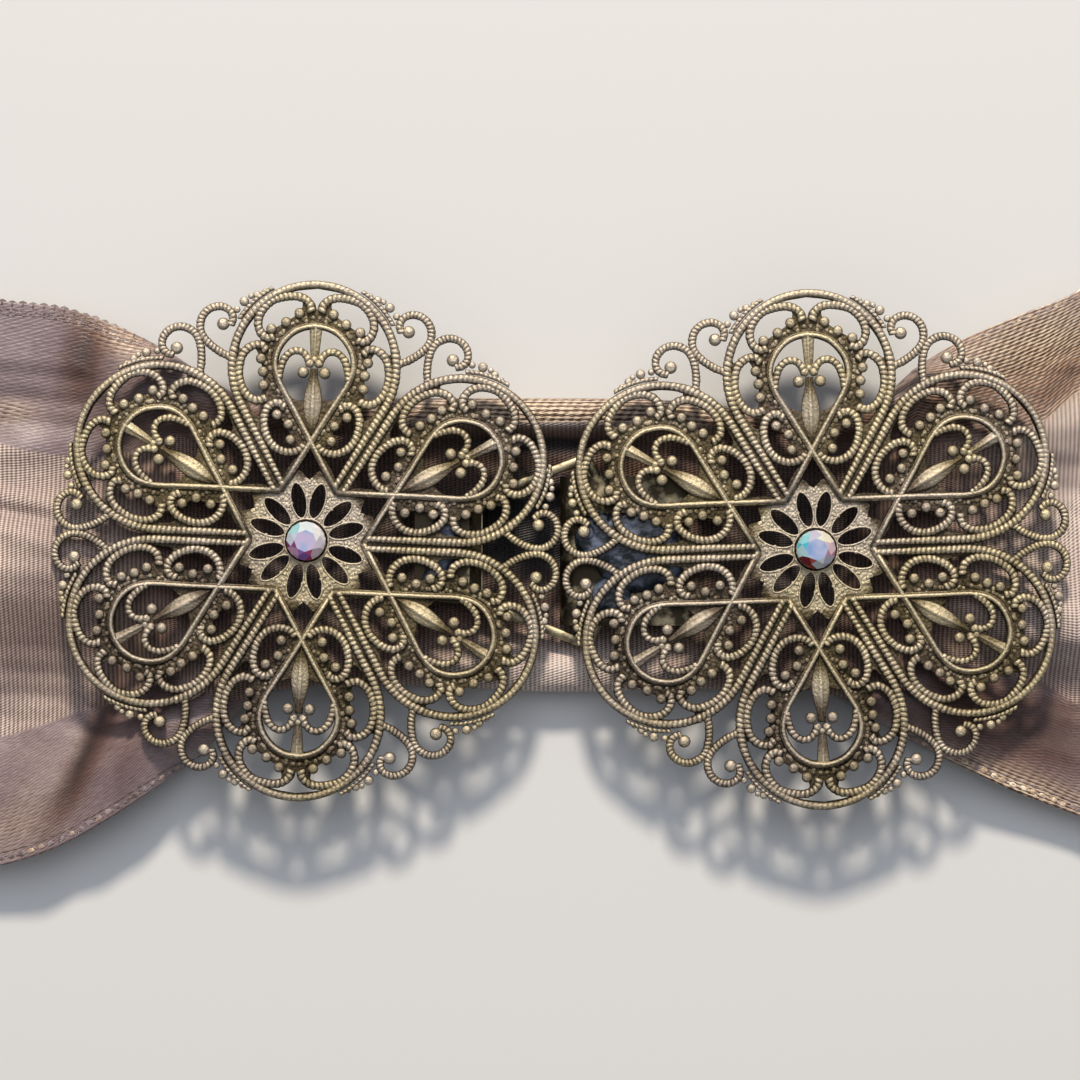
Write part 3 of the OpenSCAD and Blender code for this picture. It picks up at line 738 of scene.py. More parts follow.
def woven_ribbon(look):
    """Polyester ribbon, satin woven at its sides and ribbed in its middle: the satin takes broad
    soft lights along its folds, and the ribs scatter them in staggered columns of short dashes."""
    material, shader = new_material("woven_satin_and_rib", {
        "Sheen Weight": 0.25, "Sheen Roughness": 0.4, "Specular IOR Level": 0.55, "Anisotropic": 0.3})
    flat = node(material, "UVMap", {"uv_map": "flat"})
    axes = node(material, "SeparateXYZ", {0: flat})
    run, across = axes.outputs["X"], axes.outputs["Y"]
    dimmed = node(material, "Attribute", {"attribute_name": "dimmed"}).outputs["Fac"]
    tan = node(material, "Attribute", {"attribute_name": "tan"}).outputs["Fac"]
    middle = node(material, "Math", {"operation": "SUBTRACT", 0: across, 1: look.wide / 2})
    off = node(material, "Math", {"operation": "ABSOLUTE", 0: middle})
    band_edge = look.wide / 2 - look.satin_wide
    ribbed = node(material, "MapRange", {
        "Value": off, "From Min": band_edge + 0.2 * MM, "From Max": band_edge - 0.2 * MM})
    # Ribs: columns a rib pitch apart, cut into slanted dashes that are staggered from one to the next
    dash = 0.58 * look.rib_pitch
    slant = node(material, "Math", {
        "operation": "MULTIPLY_ADD", 0: run, 1: dash / (2 * look.rib_pitch), 2: across})
    uneven = node(material, "TexNoise", {"Vector": flat, "Scale": 1 / (0.5 * MM), "Detail": 2})
    # Painted light: the ribs are lighter where the tan attribute is high
    grid = node(material, "Math", {"operation": "MULTIPLY_ADD", 0: tan, 1: 0.42, 2: 0.26})
    grid = node(material, "Math", {"operation": "MULTIPLY_ADD", 0: uneven, 1: 0.5, 2: grid})
    for source, pitch, depth in ((run, look.rib_pitch, 0.32), (slant, dash, 0.34)):
        turns = node(material, "Math", {"operation": "MULTIPLY", 0: source, 1: math.tau / pitch})
        wave = node(material, "Math", {"operation": "SINE", 0: turns})
        grid = node(material, "Math", {"operation": "MULTIPLY_ADD", 0: wave, 1: depth, 2: grid})
    # Satin: long floats of yarn under a fine twill. The real floats are about 0.1 mm wide, too fine
    # to show, and are drawn at 0.16 mm
    stretched = node(material, "VectorMath", {
        "operation": "MULTIPLY", 0: flat, 1: (1 / (1.1 * MM), 1 / (0.16 * MM), 1)})
    floats = node(material, "TexNoise", {"Vector": stretched, "Scale": 1, "Detail": 2, "Roughness": 0.7})
    floats = node(material, "MapRange", {
        "Value": floats, "From Min": 0.25, "From Max": 0.75, "To Min": 0.1, "To Max": 0.9})
    twill = node(material, "Math", {"operation": "MULTIPLY_ADD", 0: run, 1: 0.35, 2: across})
    turns = node(material, "Math", {
        "operation": "MULTIPLY", 0: twill, 1: math.tau / (0.8 * look.line_pitch)})
    wave = node(material, "Math", {"operation": "SINE", 0: turns})
    floats = node(material, "Math", {"operation": "MULTIPLY_ADD", 0: wave, 1: 0.2, 2: floats})
    # Where the tan attribute is high, for the second thread on top and for painted light, the satin shows
    # fine unsteady lines along the ribbon
    unsteady = node(material, "Math", {"operation": "MULTIPLY_ADD", 0: floats, 1: 0.22 * MM, 2: across})
    turns = node(material, "Math", {"operation": "MULTIPLY", 0: unsteady, 1: math.tau / look.line_pitch})
    wave = node(material, "Math", {"operation": "SINE", 0: turns})
    lines = node(material, "Math", {"operation": "MULTIPLY_ADD", 0: wave, 1: 0.75, 2: 0.5})
    lined = node(material, "Math", {"operation": "MULTIPLY", 0: tan, 1: 0.95})
    satin = node(material, "Mix", {"data_type": "FLOAT", 0: lined, 2: floats, 3: lines})
    weave = node(material, "Mix", {"data_type": "FLOAT", 0: ribbed, 2: satin, 3: grid})
    rib_tone = node(material, "ValToRGB", {"Fac": grid}, [
        (0.1, look.shade), (0.5, look.ribbed), (0.95, look.glint)])
    mauve_tone = node(material, "ValToRGB", {"Fac": satin}, [
        (0.0, look.deep), (0.5, look.satin), (1.0, look.satin_light)])
    tan_tone = node(material, "ValToRGB", {"Fac": satin}, [
        (0.1, look.tan_deep), (0.5, look.tan), (0.95, look.tan_light)])
    slow = node(material, "TexNoise", {"Vector": flat, "Scale": 1 / (9 * MM), "Detail": 3})
    slow = node(material, "ValToRGB", {"Fac": slow}, [(0.35, linear("#E3DBDB")), (0.65, linear("#FFFAF2"))])
    # Painted shade: the dimmed attribute darkens the cloth under the medallions, in the gap and along
    # creases, through a warmer half shade to the dim colour
    dim = node(material, "ValToRGB", {"Fac": dimmed}, [
        (0.0, linear("#FFFFFF")), (0.5, look.half_shade), (1.0, look.dim)])
    # The second thread's colours are mixed in by the tan attribute, which also paints light on the lit folds,
    # the edges and a patch in the gap
    colour = mauve_tone
    for kind, share, over in (("MIX", tan, tan_tone), ("MIX", ribbed, rib_tone), ("MULTIPLY", 1.0, slow),
                              ("MULTIPLY", 1.0, dim)):
        colour = node(material, "Mix", {
            "data_type": "RGBA", "blend_type": kind, 0: share, 6: colour, 7: over}).outputs[2]
    # The lines stand up more than the mauve floats where the tan attribute is high
    deep = node(material, "MapRange", {"Value": ribbed, "To Min": 0.045 * MM, "To Max": 0.06 * MM})
    deep = node(material, "Math", {"operation": "MULTIPLY_ADD", 0: tan, 1: 0.04 * MM, 2: deep})
    raised = node(material, "Math", {"operation": "MULTIPLY", 0: weave, 1: deep})
    bump = node(material, "Bump", {"Strength": 0.8, "Distance": 1, "Height": raised})
    rough = node(material, "MapRange", {"Value": ribbed, "To Min": 0.4, "To Max": 0.52})
    wire(material, shader, {"Base Color": colour, "Roughness": rough, "Normal": bump})
    return material


# Painted reflections: each crystal's facet colours by the way that the facets face, from its right round
# anticlockwise
FACET_REFLECTIONS = {
    "stone_left": {
        "outer": ["#FFFFFF", "#FFFFFF", "#EAF6FA", "#F2FCFF", "#B4E8EE", "#DDE8F6", "#A0508C", "#F4C0E2",
                  "#B37AD2", "#CC4A7A", "#FBE4F0", "#F4EAF8"],
        "inner": ["#FFFFFF", "#4E7F98", "#D8F0F6", "#B4E2EE", "#C3B2E6", "#D6BFE8", "#AE80CC", "#E6CBE8"],
        "table": ["#A9C4F4", "#D3CCEE", "#DCCBEF"]},
    "stone_right": {
        "outer": ["#E9C9D6", "#FFF6DF", "#F7FAE8", "#D6D4E8", "#A8EAF4", "#59D0E8", "#C9F3FA", "#8A2B33",
                  "#B5483A", "#F2FBFA", "#DCD9EE", "#D59BB2"],
        "inner": ["#EBCFDD", "#F6F3E8", "#94A8E2", "#C6EEF6", "#B4DCF4", "#8A4450", "#D8F2F6", "#C8BAEC"],
        "table": ["#92B6EA", "#A8C0EC", "#C8D0F2"]},
}
# How far up a facet has to face to belong to the crystal's inner ring, and to its table
FACING_UP = {"inner": 0.9, "table": 0.995}


def cut_crystal(name, facet_reflections):
    """Foiled lead glass under a clear coat, with a painted reflection in a pastel of its own on each facet,
    by the way that the facet faces.
    """
    material, shader = new_material(name, {
        "Metallic": 0.25, "Roughness": 0.12, "Coat Weight": 1.0, "Coat Roughness": 0.03})
    facing = node(material, "NewGeometry", {})
    way = node(material, "SeparateXYZ", {0: facing.outputs["True Normal"]})
    turn = node(material, "Math", {"operation": "ARCTAN2", 0: way.outputs["Y"], 1: way.outputs["X"]})
    part = node(material, "Math", {"operation": "DIVIDE", 0: turn, 1: math.tau})
    part = node(material, "Math", {"operation": "FRACT", 0: part})
    tones = {}
    for ring in ("outer", "inner"):
        colours = facet_reflections[ring]
        tones[ring] = node(material, "ValToRGB", {"Fac": part}, [
            (i / len(colours), linear(colour)) for i, colour in enumerate(colours)])
        tones[ring].color_ramp.interpolation = "CONSTANT"
    place = node(material, "TexCoord", {}).outputs["Object"]
    cloud = node(material, "TexNoise", {"Vector": place, "Scale": 1 / (1.3 * MM), "Detail": 1})
    tones["table"] = node(material, "ValToRGB", {"Fac": cloud}, [
        (position, linear(colour)) for position, colour in zip((0.38, 0.5, 0.7), facet_reflections["table"])])
    colour = tones["outer"]
    for ring, least in FACING_UP.items():
        up = node(material, "Math", {"operation": "GREATER_THAN", 0: way.outputs["Z"], 1: least})
        colour = node(material, "Mix", {"data_type": "RGBA", 0: up, 6: colour, 7: tones[ring]}).outputs[2]
    wire(material, shader, {"Base Color": colour})
    return material


# The ribbon's rows: how far along, the visible edges, the angles that the two edges turn through and
# how much is tucked under past the turn, then seven heights of the cloth from edge to edge
FOLD_RUN = 4.5
FLAT_EDGE = 2 * FOLD_RUN / math.pi + 0.5
ROWS = [
    (-57, 27.8, -29.9, 0, 0, 1.2, 3.6, 1.4, 3.4, 4.8, 3.2, 1.8, 3.6),
    (-54, 27.4, -29.4, 0, 0, 1.2, 3.6, 1.3, 3.4, 4.8, 3.2, 1.5, 3.8),
    (-48, 26.7, -27.3, 0, 0, 1.2, 3.4, 1.2, 3.4, 4.9, 3.6, 1.6, 4.7),
    (-42, 24.5, -23.8, 30, 8, 1.2, 4.2, 2.0, 4.2, 5.2, 4.4, 2.6, 5.5),
    (-37.5, 22.1, -20.7, 90, 30, 1.5, 5.0, 3.4, 4.6, 5.2, 4.8, 4.0, 5.9),
    (-33.5, 19.5, -17.4, 160, 130, 4, 5.0, 4.2, 3.6, 3.6, 3.8, 4.6, 5.4),
    (-29.5, 17.3, -12.9, 180, 180, 8, FLAT_EDGE, 3.2, 2.6, 2.2, 2.6, 3.2, FLAT_EDGE),
    (-24, 17.3, -11.5, 180, 180, 11, FLAT_EDGE, 2.9, 2.1, 1.8, 2.1, 2.9, FLAT_EDGE),
    (-14, 17.5, -11.3, 180, 180, 11.5, FLAT_EDGE, 2.3, 1.75, 1.75, 1.75, 2.3, FLAT_EDGE),
    (2, 17.5, -11.9, 180, 180, 11.5, FLAT_EDGE, 2.1, 1.75, 1.75, 1.75, 2.1, FLAT_EDGE),
    (14, 17.2, -11.7, 180, 180, 11.5, FLAT_EDGE, 2.3, 1.75, 1.75, 1.75, 2.3, FLAT_EDGE),
    (23, 16.1, -11.7, 180, 180, 11, FLAT_EDGE, 2.8, 2.0, 1.8, 2.0, 2.8, FLAT_EDGE),
    (30, 15.1, -12.4, 180, 180, 8, FLAT_EDGE, 3.2, 2.6, 2.2, 2.6, 3.2, FLAT_EDGE),
    (34, 17, -14.7, 160, 150, 4, 5.0, 4.6, 3.6, 3.6, 4.2, 4.4, 5.2),
    (38, 20.4, -17.1, 90, 60, 1.5, 5.0, 5.0, 3.6, 4.4, 5.2, 4.2, 5.5),
    (42.5, 23.3, -19.5, 30, 14, 1.2, 3.2, 5.0, 3.0, 4.2, 5.2, 2.8, 4.9),
    (48, 25.8, -22.1, 0, 0, 1.2, 1.6, 4.6, 2.2, 3.8, 5.0, 1.6, 4.2),
    (54, 28.2, -24.4, 0, 0, 1.2, 1.1, 4.2, 2.0, 3.4, 4.8, 1.3, 3.7),
    (57, 29.9, -25.5, 0, 0, 1.2, 0.9, 4.2, 2.0, 3.4, 4.8, 1.3, 3.7),
]
ROW_STEP = 0.5
FOLD_STEPS = 8
TUCK_STEPS = 6
FACE_STEPS = 140
# More of the lower edge is tucked under than of the upper one
MORE_TUCKED = (-3.2, 0.8)
# The cloth comes to rest on the table, and gives a little over it
GROUND = 0.3
GIVE = 0.12
# Folds of the cloth: middle, angle in degrees, half length, half width and height
FOLDS = [
    # Left end: broad folds first, then the creases on them
    (-53.0, 0.5, 8, 9, 5.0, 1.5), (-53.0, -12.0, 14, 9, 4.0, -0.9), (-46.2, 20.8, 78, 7, 3.4, -1.1),
    (-52.0, 13.6, 10, 7, 3.8, 1.3), (-53.5, 12.4, 3, 7, 1.6, 0.6), (-52.0, 7.2, -10, 6, 0.8, 0.7),
    (-52.5, 3.9, -12, 6, 1.0, 0.8), (-52.0, 5.7, -11, 7, 0.5, -0.25), (-50.5, -18.5, 60, 8, 4.0, 0.8),
    (-46.3, -19.2, 67, 8, 1.7, -0.6), (-45.5, -24.6, 36, 9, 2.8, 1.3),
    # Right end
    (52.8, 21.5, 24, 8, 4.0, 1.7), (52.8, 17.6, 48, 5, 2.0, -0.5), (53.0, -7.0, -4, 9, 3.4, 1.2),
    (52.5, -16.4, -16, 9, 2.8, -1.0), (51.0, -12.6, -12, 7, 0.6, 0.16), (52.0, -14.6, -14, 7, 0.6, 0.14),
    (52.4, 5.0, 84, 8, 0.9, 0.3), (50.6, 0.5, 87, 8, 0.7, -0.25), (44.5, -20.6, -24, 5, 2.4, 1.1),
    # Gap between the medallions: the turned edge's roll and the swell below the clasp
    (1.5, 15.4, 0, 14, 1.4, 0.55), (1.5, -9.3, 0, 9, 1.7, 0.9),
]
# Painted shade and painted light on the cloth. dimmed: painted shade under the medallions, in the gap
# and along deep creases, where negative entries take some of it away again; tan: the second thread on
# top, and painted light on the lit folds, the edges and a patch in the gap
TINTS = {
    "dimmed": [
        (-23.4, 3.1, 0, 18, 18, 0.91), (27.3, 2.5, 0, 16, 17, 0.93), (0.3, 5.2, 90, 8.6, 10, 0.97),
        (1.0, 13.3, 0, 14, 1.2, 0.6), (1.5, 16.3, 0, 14, 2.0, -0.6), (1.5, -9.5, 0, 9, 2.2, -0.6),
        (-46.2, 21.8, 80, 5.5, 2.3, 0.56), (-46.6, 23.0, 78, 3.5, 1.6, 0.14),
        (-46.3, -19.2, 67, 8, 1.5, 0.72), (-41.0, -17.5, 70, 8, 2.6, 0.25), (-52.0, -6.0, 8, 10, 5, 0.2),
        (-52.0, -20.0, 40, 9, 5, 0.15), (53.0, 19.4, 48, 4.5, 1.4, 0.25),
        (51.5, -16.2, -14, 12, 4.2, 0.7), (49.0, 18.6, 22, 14, 3.0, 0.42),
    ],
    "tan": [
        (50.0, 22.0, 22, 14, 6.5, 0.95), (49.0, -22.8, -22, 13, 2.8, 0.95), (-54.0, -26.0, 20, 7, 3.0, 0.28),
        (2.0, 16.2, 0, 30, 2.6, 1.05), (2.0, -9.4, 0, 12, 2.0, 0.9), (-42.5, 23.6, -30, 5, 1.6, 0.7),
        (-54.0, 16.4, 0, 3, 1.4, 0.4), (53.5, 3.0, 90, 13, 5, 0.6),
    ],
}
# How far outwards the ribbed band's two edges are pulled, along the ribbon
BAND_AT = (-57, -54, -48, -42, -36, 48, 51, 54, 57)
BAND_SHIFTS = ((-0.4, -0.6, -1.8, -1.2, 0, 0, 0.9, 3.1, 3.3), (0.9, 0.9, 0.1, 0, 0, 0, 0, 1.7, 2.0))
# The satin laps over the ribbed band where the edges are turned under
LAP_AT = 14.6
LAP_HIGH = 0.9
LAP_WIDE = 0.16


def mounds(table, x, y):
    """The sum of a table's long soft mounds at a place."""
    total = np.zeros_like(x)
    for middle_x, middle_y, angle, long, wide, high in table:
        c, s = math.cos(math.radians(angle)), math.sin(math.radians(angle))
        run = ((x - middle_x) * c + (y - middle_y) * s) / long
        off = ((y - middle_y) * c - (x - middle_x) * s) / wide
        total += high * np.exp(-run * run - off * off)
    return total


def folds(x, y, turned):
    """How far the folds, the lap and a faint ripple lift the cloth at a place."""
    ripple = 0.07 * np.sin(0.55 * x + 1.9 * y) * np.sin(0.31 * x - 0.8 * y + 1)
    ripple += 0.04 * np.sin(2.3 * y + 0.2 * x)
    lap = LAP_HIGH / (1 + np.exp(-(y - LAP_AT) / LAP_WIDE))
    return mounds(FOLDS, x, y) + ripple + lap * turned


def ribbon_rows():
    """The rows again, closer together, with smooth changes between them."""
    rows = np.array(ROWS, float)
    at = rows[:, 0]
    x = np.arange(at[0], at[-1] + ROW_STEP / 2, ROW_STEP)
    k = np.clip(np.searchsorted(at, x, "right") - 1, 0, len(rows) - 2)
    span = at[k + 1] - at[k]
    t = (x - at[k]) / span
    columns = [x]
    for column in rows.T[1:]:
        slope = np.gradient(column, at)
        a, b = column[k], column[k + 1]
        value = ((1 + 2 * t) * (1 - t) ** 2 * a + t * (1 - t) ** 2 * span * slope[k]
                 + t * t * (3 - 2 * t) * b + t * t * (t - 1) * span * slope[k + 1])
        # Flat stretches stay flat: a slope never overshoots its row
        columns.append(np.clip(value, np.minimum(a, b), np.maximum(a, b)))
    return np.column_stack(columns)


def heights(row, t):
    """Height of the cloth's face from its top edge, t = 0, to its bottom edge, t = 1."""
    h = row[6:]
    last = len(h) - 1
    k = np.minimum(last - 1, np.floor(t * last).astype(int))
    return spline(t * last - k, h[np.maximum(k - 1, 0)], h[k], h[k + 1], h[np.minimum(k + 2, last)])


def turned_under(angle):
    """How far an edge is on its way from hanging straight down to lying flat underneath."""
    return min(max((angle - 90) / 90, 0), 1)


def cloth_line(row):
    """The cloth's middle across one row, from the tip of its top edge to that of its bottom one."""
    ends, hangs = [], []
    for side, angle in enumerate(row[3:5]):
        turn = math.radians(max(angle, 0.1))
        bend = FOLD_RUN / turn
        tuck = row[5] + MORE_TUCKED[side] * turned_under(angle)
        runs = np.concatenate([np.linspace(FOLD_RUN + tuck, FOLD_RUN, TUCK_STEPS, endpoint=False),
                               np.linspace(FOLD_RUN, 0, FOLD_STEPS, endpoint=False)])
        bent = turn * np.minimum(runs, FOLD_RUN) / FOLD_RUN
        past = np.maximum(runs - FOLD_RUN, 0)
        reach = bend * np.sin(bent) + past * np.cos(bent)
        hangs.append(bend if angle > 90 else reach[0])
        ends.append((reach, bend * (np.cos(bent) - 1) - past * np.sin(bent)))
    t = np.linspace(0, 1, FACE_STEPS + 1)
    start, stop = row[1] - hangs[0], row[2] + hangs[1]
    y = start + (stop - start) * t
    z = heights(row, t) + folds(np.full_like(y, row[0]), y, turned_under(row[3]))
    top = np.column_stack([start + ends[0][0], z[0] + ends[0][1]])
    low = np.column_stack([stop - ends[1][0], z[-1] + ends[1][1]])[::-1]
    line = np.vstack([top, np.column_stack([y, z]), low])
    line[:, 1] = GROUND + GIVE * np.logaddexp(0, (line[:, 1] - GROUND) / GIVE)
    return line


def cloth_sheet(look):
    """The upper and the lower face of the cloth row by row, and its middle across the rows."""
    x = ribbon_rows()[:, 0]
    middles = np.array([cloth_line(row) for row in ribbon_rows()])
    grid = np.concatenate([np.broadcast_to(x[:, None, None], middles.shape[:2] + (1,)), middles], axis=2)
    half = unit(np.cross(np.gradient(grid, axis=1), np.gradient(grid, axis=0))) * look.cloth_thick / MM / 2
    return grid + half, grid - half, grid


def flat_places(look, grid):
    """Where each point of the cloth lies when it is spread out flat, in metres."""
    wide = look.wide / MM
    v = np.array([along(row[:, 1:]) for row in grid])
    # The weave gives a little, so that each band keeps its share of the width, but near the ends
    # the ribbed band is pulled out of line
    v *= wide / v[:, -1:]
    upper_shift, lower_shift = (np.interp(grid[:, :1, 0], BAND_AT, shifts) for shifts in BAND_SHIFTS)
    turn = math.tau * v / wide
    v += np.where(turn < math.pi, upper_shift, lower_shift) * np.sin(turn)
    u = along(grid[:, grid.shape[1] // 2])
    return np.stack([np.broadcast_to(u[:, None], v.shape), v], axis=2).reshape(-1, 2) * MM


def folded_ribbon(name, look, material):
    """The ribbon as one closed sheet of cloth with flat coordinates."""
    upper, lower, grid = cloth_sheet(look)
    n, m = upper.shape[:2]
    points = np.vstack([upper.reshape(-1, 3), lower.reshape(-1, 3)])
    under = n * m
    faces = []
    for a in (i * m + j for i in range(n - 1) for j in range(m - 1)):
        faces.append([a, a + 1, a + m + 1, a + m])
        faces.append([under + a, under + a + m, under + a + m + 1, under + a + 1])
    # The rims: along both edges, then across both ends
    for a in range(0, under - m, m):
        b = a + m - 1
        faces += [[a, a + m, under + a + m, under + a], [under + b, under + b + m, b + m, b]]
    for a in range(m - 1):
        b = under - m + a
        faces += [[a, under + a, under + a + 1, a + 1], [b + 1, under + b + 1, under + b, b]]
    # Painted shade and painted light for each point: dimmed darkens the cloth, and tan marks the second
    # thread and the lit places
    values = {tint: np.clip(mounds(table, points[:, 0], points[:, 1]), 0, 1) for tint, table in TINTS.items()}
    flat = flat_places(look, grid)
    return mesh_piece(name, points, faces, material, values, flat=np.vstack([flat, flat]))


# Rows of the woven edges: how far in, how high up, half length, half width, half thickness,
# distance between two, unevenness and tone
LOOPED_ROWS = [
    (0.22, 0.0, 0.52, 0.46, 0.22, 1.06, 0.05, 0.0),
    (0.78, 0.17, 0.2, 0.1, 0.07, 0.46, 0.14, 0.1),
    (1.02, 0.17, 0.2, 0.09, 0.07, 0.42, 0.14, 0.2),
    (1.28, 0.17, 0.2, 0.09, 0.06, 0.4, 0.12, 0.05),
]
PLAIN_ROWS = [
    (0.1, 0.0, 0.6, 0.2, 0.2, 0.9, 0.03, 0.4),
    (0.5, 0.17, 0.24, 0.1, 0.06, 0.5, 0.12, 0.2),
]
SPOTTED_ROWS = [
    (0.06, 0.0, 0.6, 0.14, 0.2, 0.95, 0.03, -0.2),
    (0.62, 0.17, 0.42, 0.3, 0.05, 1.1, 0.08, 0.3),
    (0.62, 0.18, 0.16, 0.1, 0.07, 0.42, 0.3, 0.15),
    (1.22, 0.17, 0.5, 0.08, 0.06, 0.9, 0.03, -0.2),
]
# Which edge has which rows: 0 for the upper and -1 for the lower one, from where to where along
EDGES = [(0, -57, 33, LOOPED_ROWS), (0, 33, 57, PLAIN_ROWS), (-1, -57, 57, SPOTTED_ROWS)]
# The neighbour of each edge's points, further in
INWARD = {0: 1, -1: -2}


def yarn_egg(sides=6, rings=4):
    """A loop of yarn as an egg one unit long from its middle to each tip, and its faces."""
    points = [(math.cos(p), math.sin(p) * math.cos(t), math.sin(p) * math.sin(t))
              for p in (math.pi * i / rings for i in range(1, rings))
              for t in (math.tau * j / sides for j in range(sides))]
    near = len(points)
    faces = [[a, d, c, b] for a, b, c, d in belt(rings - 1, sides)]
    for j in range(sides):
        after = (j + 1) % sides
        faces += [[near, j, after], [near + 1, near - sides + after, near - sides + j]]
    return np.array(points + [(1, 0, 0), (-1, 0, 0)]), faces


def picots(name, look, material):
    """The small woven loops along both edges of the ribbon, and the stitches inside them."""
    upper, lower, grid = cloth_sheet(look)
    egg, faces = yarn_egg()
    pile = Pile()
    order = np.random.default_rng(5)
    for edge, first, last, table in EDGES:
        run_of = (upper[:, 0, 0] >= first) & (upper[:, 0, 0] <= last)
        top, under = upper[run_of], lower[run_of]
        into = unit(top[:, INWARD[edge]] - top[:, edge])
        up = unit(top[:, edge] - under[:, edge])
        for inward, raised, long, wide, thick, pitch, uneven, tone in table:
            row = (top[:, edge] + under[:, edge]) / 2 + into * inward + up * raised
            run = along(row)
            at = np.arange(pitch, run[-1] - pitch, pitch)
            at = at + order.uniform(-uneven, uneven, len(at))
            spots = between(at, run, row)
            spots[:, 2] = np.maximum(spots[:, 2], wide)
            ways, ups = between(at, run, np.gradient(row, run, axis=0)), between(at, run, up)
            sides = np.cross(ways, ups)
            spots = spots + order.uniform(-0.7, 0.7, (len(at), 1)) * uneven * sides
            # Loops on lit folds and edges are lighter: painted light from the tan table
            tones = (tone + order.uniform(-0.25, 0.25, len(at))
                     + 0.5 * np.clip(mounds(TINTS["tan"], spots[:, 0], spots[:, 1]), 0, 1))
            for spot, way, side, high, bright in zip(spots, ways, sides, ups, tones):
                pile.add(spot + egg @ np.array([long * way, wide * side, thick * high]), faces, bright)
    return pile.piece(name, material)


# Operators

MEDALLIONS = {"medallion_left": math.radians(-2.6), "medallion_right": math.radians(2.1)}


def clad(solid, material):
    """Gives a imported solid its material."""
    mesh = frame["nodes"][solid].data
    mesh.materials.clear()
    mesh.materials.append(material)


class CLASP_OT_medallions(bpy.types.Operator):
    """Builds both pierced brass medallions over their solids"""

    bl_idname = "clasp.medallions"
    bl_label = "Medallions"

    def execute(self, context):
        look = context.scene.clasp_medallions
        granulated = antiqued_brass("granulated_antique_brass", look, grain_mm=0.32, tone=-0.05)
        rubbed = antiqued_brass("rubbed_antique_brass", look)
        parts = {
            "sheet": (pierced_sheet(look), granulated, False),
            "ropes": (medallion_ropes(look), rubbed, True),
            "scrolls": (medallion_scrolls(look), rubbed, True),
            "wires": (medallion_wires(look), rubbed, True),
            "granules": (medallion_granules(look), rubbed, True),
            "flower": (medallion_flower(look), rubbed, True),
        }
        for solid, turn in MEDALLIONS.items():
            low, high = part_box(solid)
            centre = (low + high) / 2
            place = Matrix.Translation((centre.x, centre.y, low.z)) @ Matrix.Rotation(turn, 4, "Z")
            for part, (pile, brass, smooth) in parts.items():
                piece = pile.piece(f"{solid}_{part}", brass, place=place, smooth=smooth)
                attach(piece, "root")
                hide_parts(solid)
        return {"FINISHED"}


class CLASP_OT_crystals(bpy.types.Operator):
    """Gives the two crystals their coated glass with painted facet reflections"""

    bl_idname = "clasp.crystals"
    bl_label = "Crystals"

    def execute(self, context):
        for solid, facet_reflections in FACET_REFLECTIONS.items():
            clad(solid, cut_crystal("painted_reflections_crystal_" + solid, facet_reflections))
        return {"FINISHED"}


class CLASP_OT_fittings(bpy.types.Operator):
    """Gives the hook, the frame and the glue their materials"""

    bl_idname = "clasp.fittings"
    bl_label = "Hook, frame and glue"

    def execute(self, context):
        look = context.scene.clasp_fittings
        frame_brass = sheet_brass("rubbed_frame_brass", look.frame, look.patina, 0.36)
        clad("eye_frame", frame_brass)
        # The hook is painted dark all over: painted shade for the shadow under the right medallion
        clad("hook_plate", sheet_brass("hook_brass_painted_shade", look.patina, look.frame, 0.5))
        glue = dried_glue(look)
        for solid in GLUE:
            lumps = glue_lumps(solid).piece(solid + "_lumps", glue)
            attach(lumps, "root")
            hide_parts(solid)
        bars = frame_bars().piece("eye_frame_bars", frame_brass)
        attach(bars, "root")
        return {"FINISHED"}


class CLASP_OT_ribbon(bpy.types.Operator):
    """Lays the woven ribbon in place of its solid"""

    bl_idname = "clasp.ribbon"
    bl_label = "Ribbon"

    def execute(self, context):
        look = context.scene.clasp_ribbon
        cloth = folded_ribbon("ribbon_cloth", look, woven_ribbon(look))
        loops = picots("ribbon_picots", look, picot_yarn(look))
        for piece in (cloth, loops):
            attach(piece, "root")
            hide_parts("ribbon")
        return {"FINISHED"}


# Lengths of the stage, in metres: the camera's film, what it sees between, and the floor's half side
FILM = 0.036
SEEN = (0.01, 10)
FLOOR_REACH = 1.5


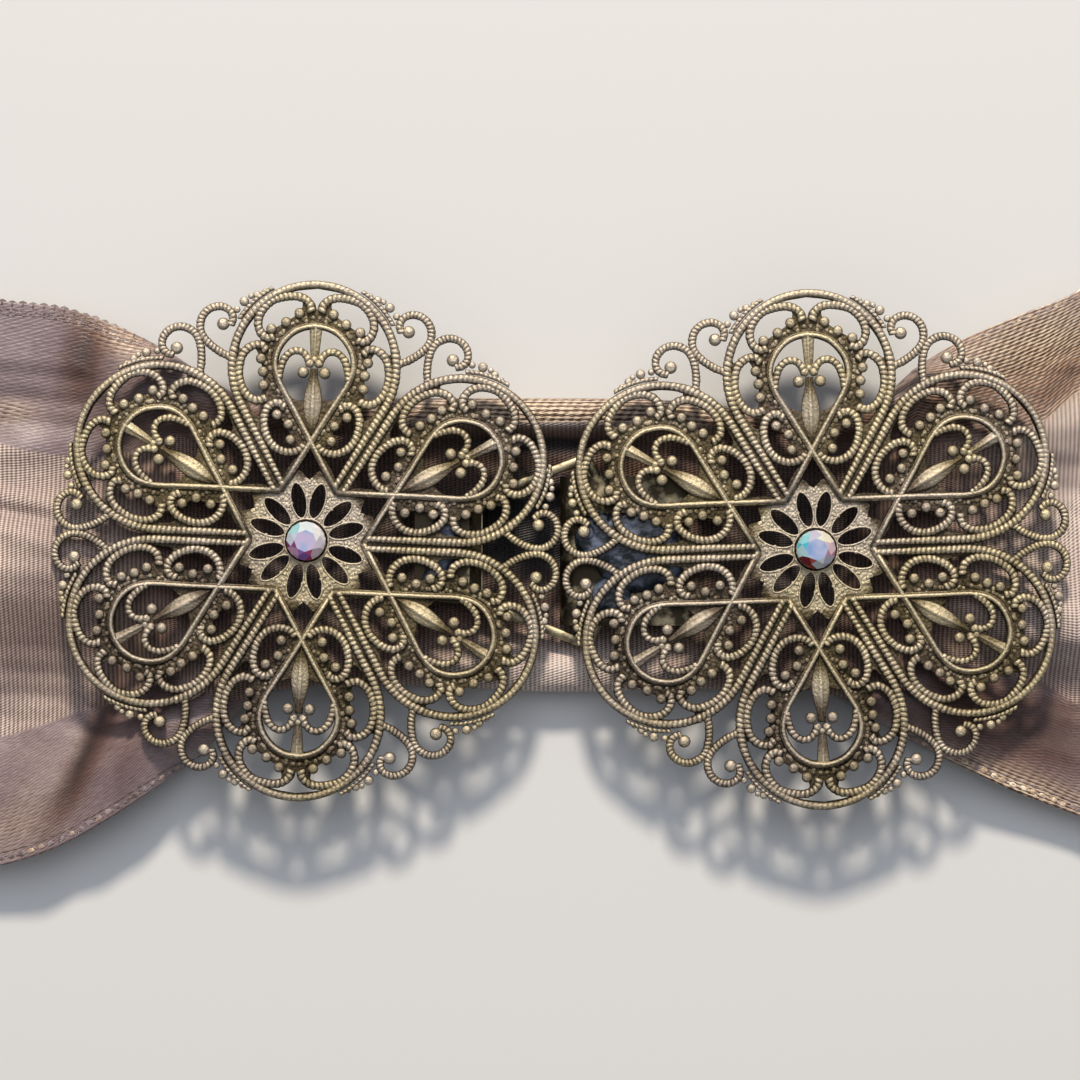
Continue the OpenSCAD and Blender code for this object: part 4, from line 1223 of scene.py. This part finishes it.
class CLASP_OT_stage(bpy.types.Operator):
    """Sets up the camera, the lights and the pale floor"""

    bl_idname = "clasp.stage"
    bl_label = "Camera, light and floor"

    def execute(self, context):
        look = context.scene.clasp_stage
        scene = context.scene
        # The camera looks straight down on the medallions' face
        aim = Vector((0, 3.3 * MM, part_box("medallion_left")[1].z - 0.5 * MM))
        lens = bpy.data.cameras.new("camera")
        lens.sensor_width = FILM / MM
        lens.lens = lens.sensor_width * look.camera_high / look.frame_wide
        lens.clip_start, lens.clip_end = SEEN
        camera = bpy.data.objects.new("camera", lens)
        scene.collection.objects.link(camera)
        camera.location = aim + Vector((0, 0, look.camera_high))
        scene.camera = camera

        paper, _ = new_material("matt_paper", {
            "Roughness": 0.95, "Base Color": look.floor, "Specular IOR Level": 0.1})
        corners = np.array([(-1, -1, 0), (1, -1, 0), (1, 1, 0), (-1, 1, 0)]) * FLOOR_REACH / MM
        below = Matrix.Translation((0, 0, -0.02 * MM))
        mesh_piece("floor", corners, [(0, 1, 2, 3)], paper, {}, place=below, smooth=False)

        # Soft lamps beyond the top of the picture: power, width, distance, height and colour
        for name, energy, size, far, high, tone in (
                ("key", 9.2, 0.14, 1.0, look.sun_high, "#FFF3E2"),
                ("sky", 5.2, 1.1, 1.2, math.radians(62), "#E4E9F6")):
            lamp = bpy.data.lights.new(name, "AREA")
            lamp.energy, lamp.shape, lamp.size, lamp.color = energy, "DISK", size, linear(tone)[:3]
            made = bpy.data.objects.new(name, lamp)
            scene.collection.objects.link(made)
            way = Vector((0, math.cos(high), math.sin(high)))
            made.location = aim + far * way
            made.rotation_euler = (-way).to_track_quat("-Z", "Y").to_euler()

        # The room is dim at eye level and pale overhead
        world = bpy.data.worlds.new("studio")
        scene.world = world
        world.use_nodes = True
        way = node(world, "TexCoord", {}).outputs["Generated"]
        axes = node(world, "SeparateXYZ", {0: way})
        room = node(world, "ValToRGB", {"Fac": axes.outputs["Z"]}, [
            (0.05, linear("#454A55")), (0.75, linear("#E6EAF2"))])
        wire(world, world.node_tree.nodes["Background"], {"Color": room, "Strength": 0.31})
        scene.view_settings.view_transform = "Standard"
        return {"FINISHED"}


class CLASP_PT_panel(bpy.types.Panel):
    """Lists the clasp's pieces and their settings"""

    bl_idname = "CLASP_PT_panel"
    bl_label = "Filigree clasp"
    bl_space_type = "VIEW_3D"
    bl_region_type = "UI"
    bl_category = "Clasp"

    def draw(self, context):
        for step in STEPS:
            self.layout.operator(step.bl_idname)
        for group in GROUPS:
            settings = getattr(context.scene, group)
            for name in settings.bl_rna.properties.keys():
                if name not in ("rna_type", "name"):
                    self.layout.prop(settings, name)


STEPS = (CLASP_OT_stage, CLASP_OT_ribbon, CLASP_OT_fittings, CLASP_OT_medallions, CLASP_OT_crystals)
GROUPS = {
    "clasp_medallions": MedallionLook,
    "clasp_fittings": ClaspLook,
    "clasp_ribbon": RibbonLook,
    "clasp_stage": StageLook,
}


def register():
    for kind in (*GROUPS.values(), *STEPS, CLASP_PT_panel):
        bpy.utils.register_class(kind)
    for name, kind in GROUPS.items():
        setattr(bpy.types.Scene, name, bpy.props.PointerProperty(type=kind))


def unregister():
    for name in GROUPS:
        delattr(bpy.types.Scene, name)
    for kind in (CLASP_PT_panel, *STEPS, *GROUPS.values()):
        bpy.utils.unregister_class(kind)


def main():
    register()
    bpy.ops.clasp.stage()
    bpy.ops.clasp.ribbon()
    bpy.ops.clasp.fittings()
    bpy.ops.clasp.medallions()
    bpy.ops.clasp.crystals()
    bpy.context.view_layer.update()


if __name__ == "__main__":
    main()
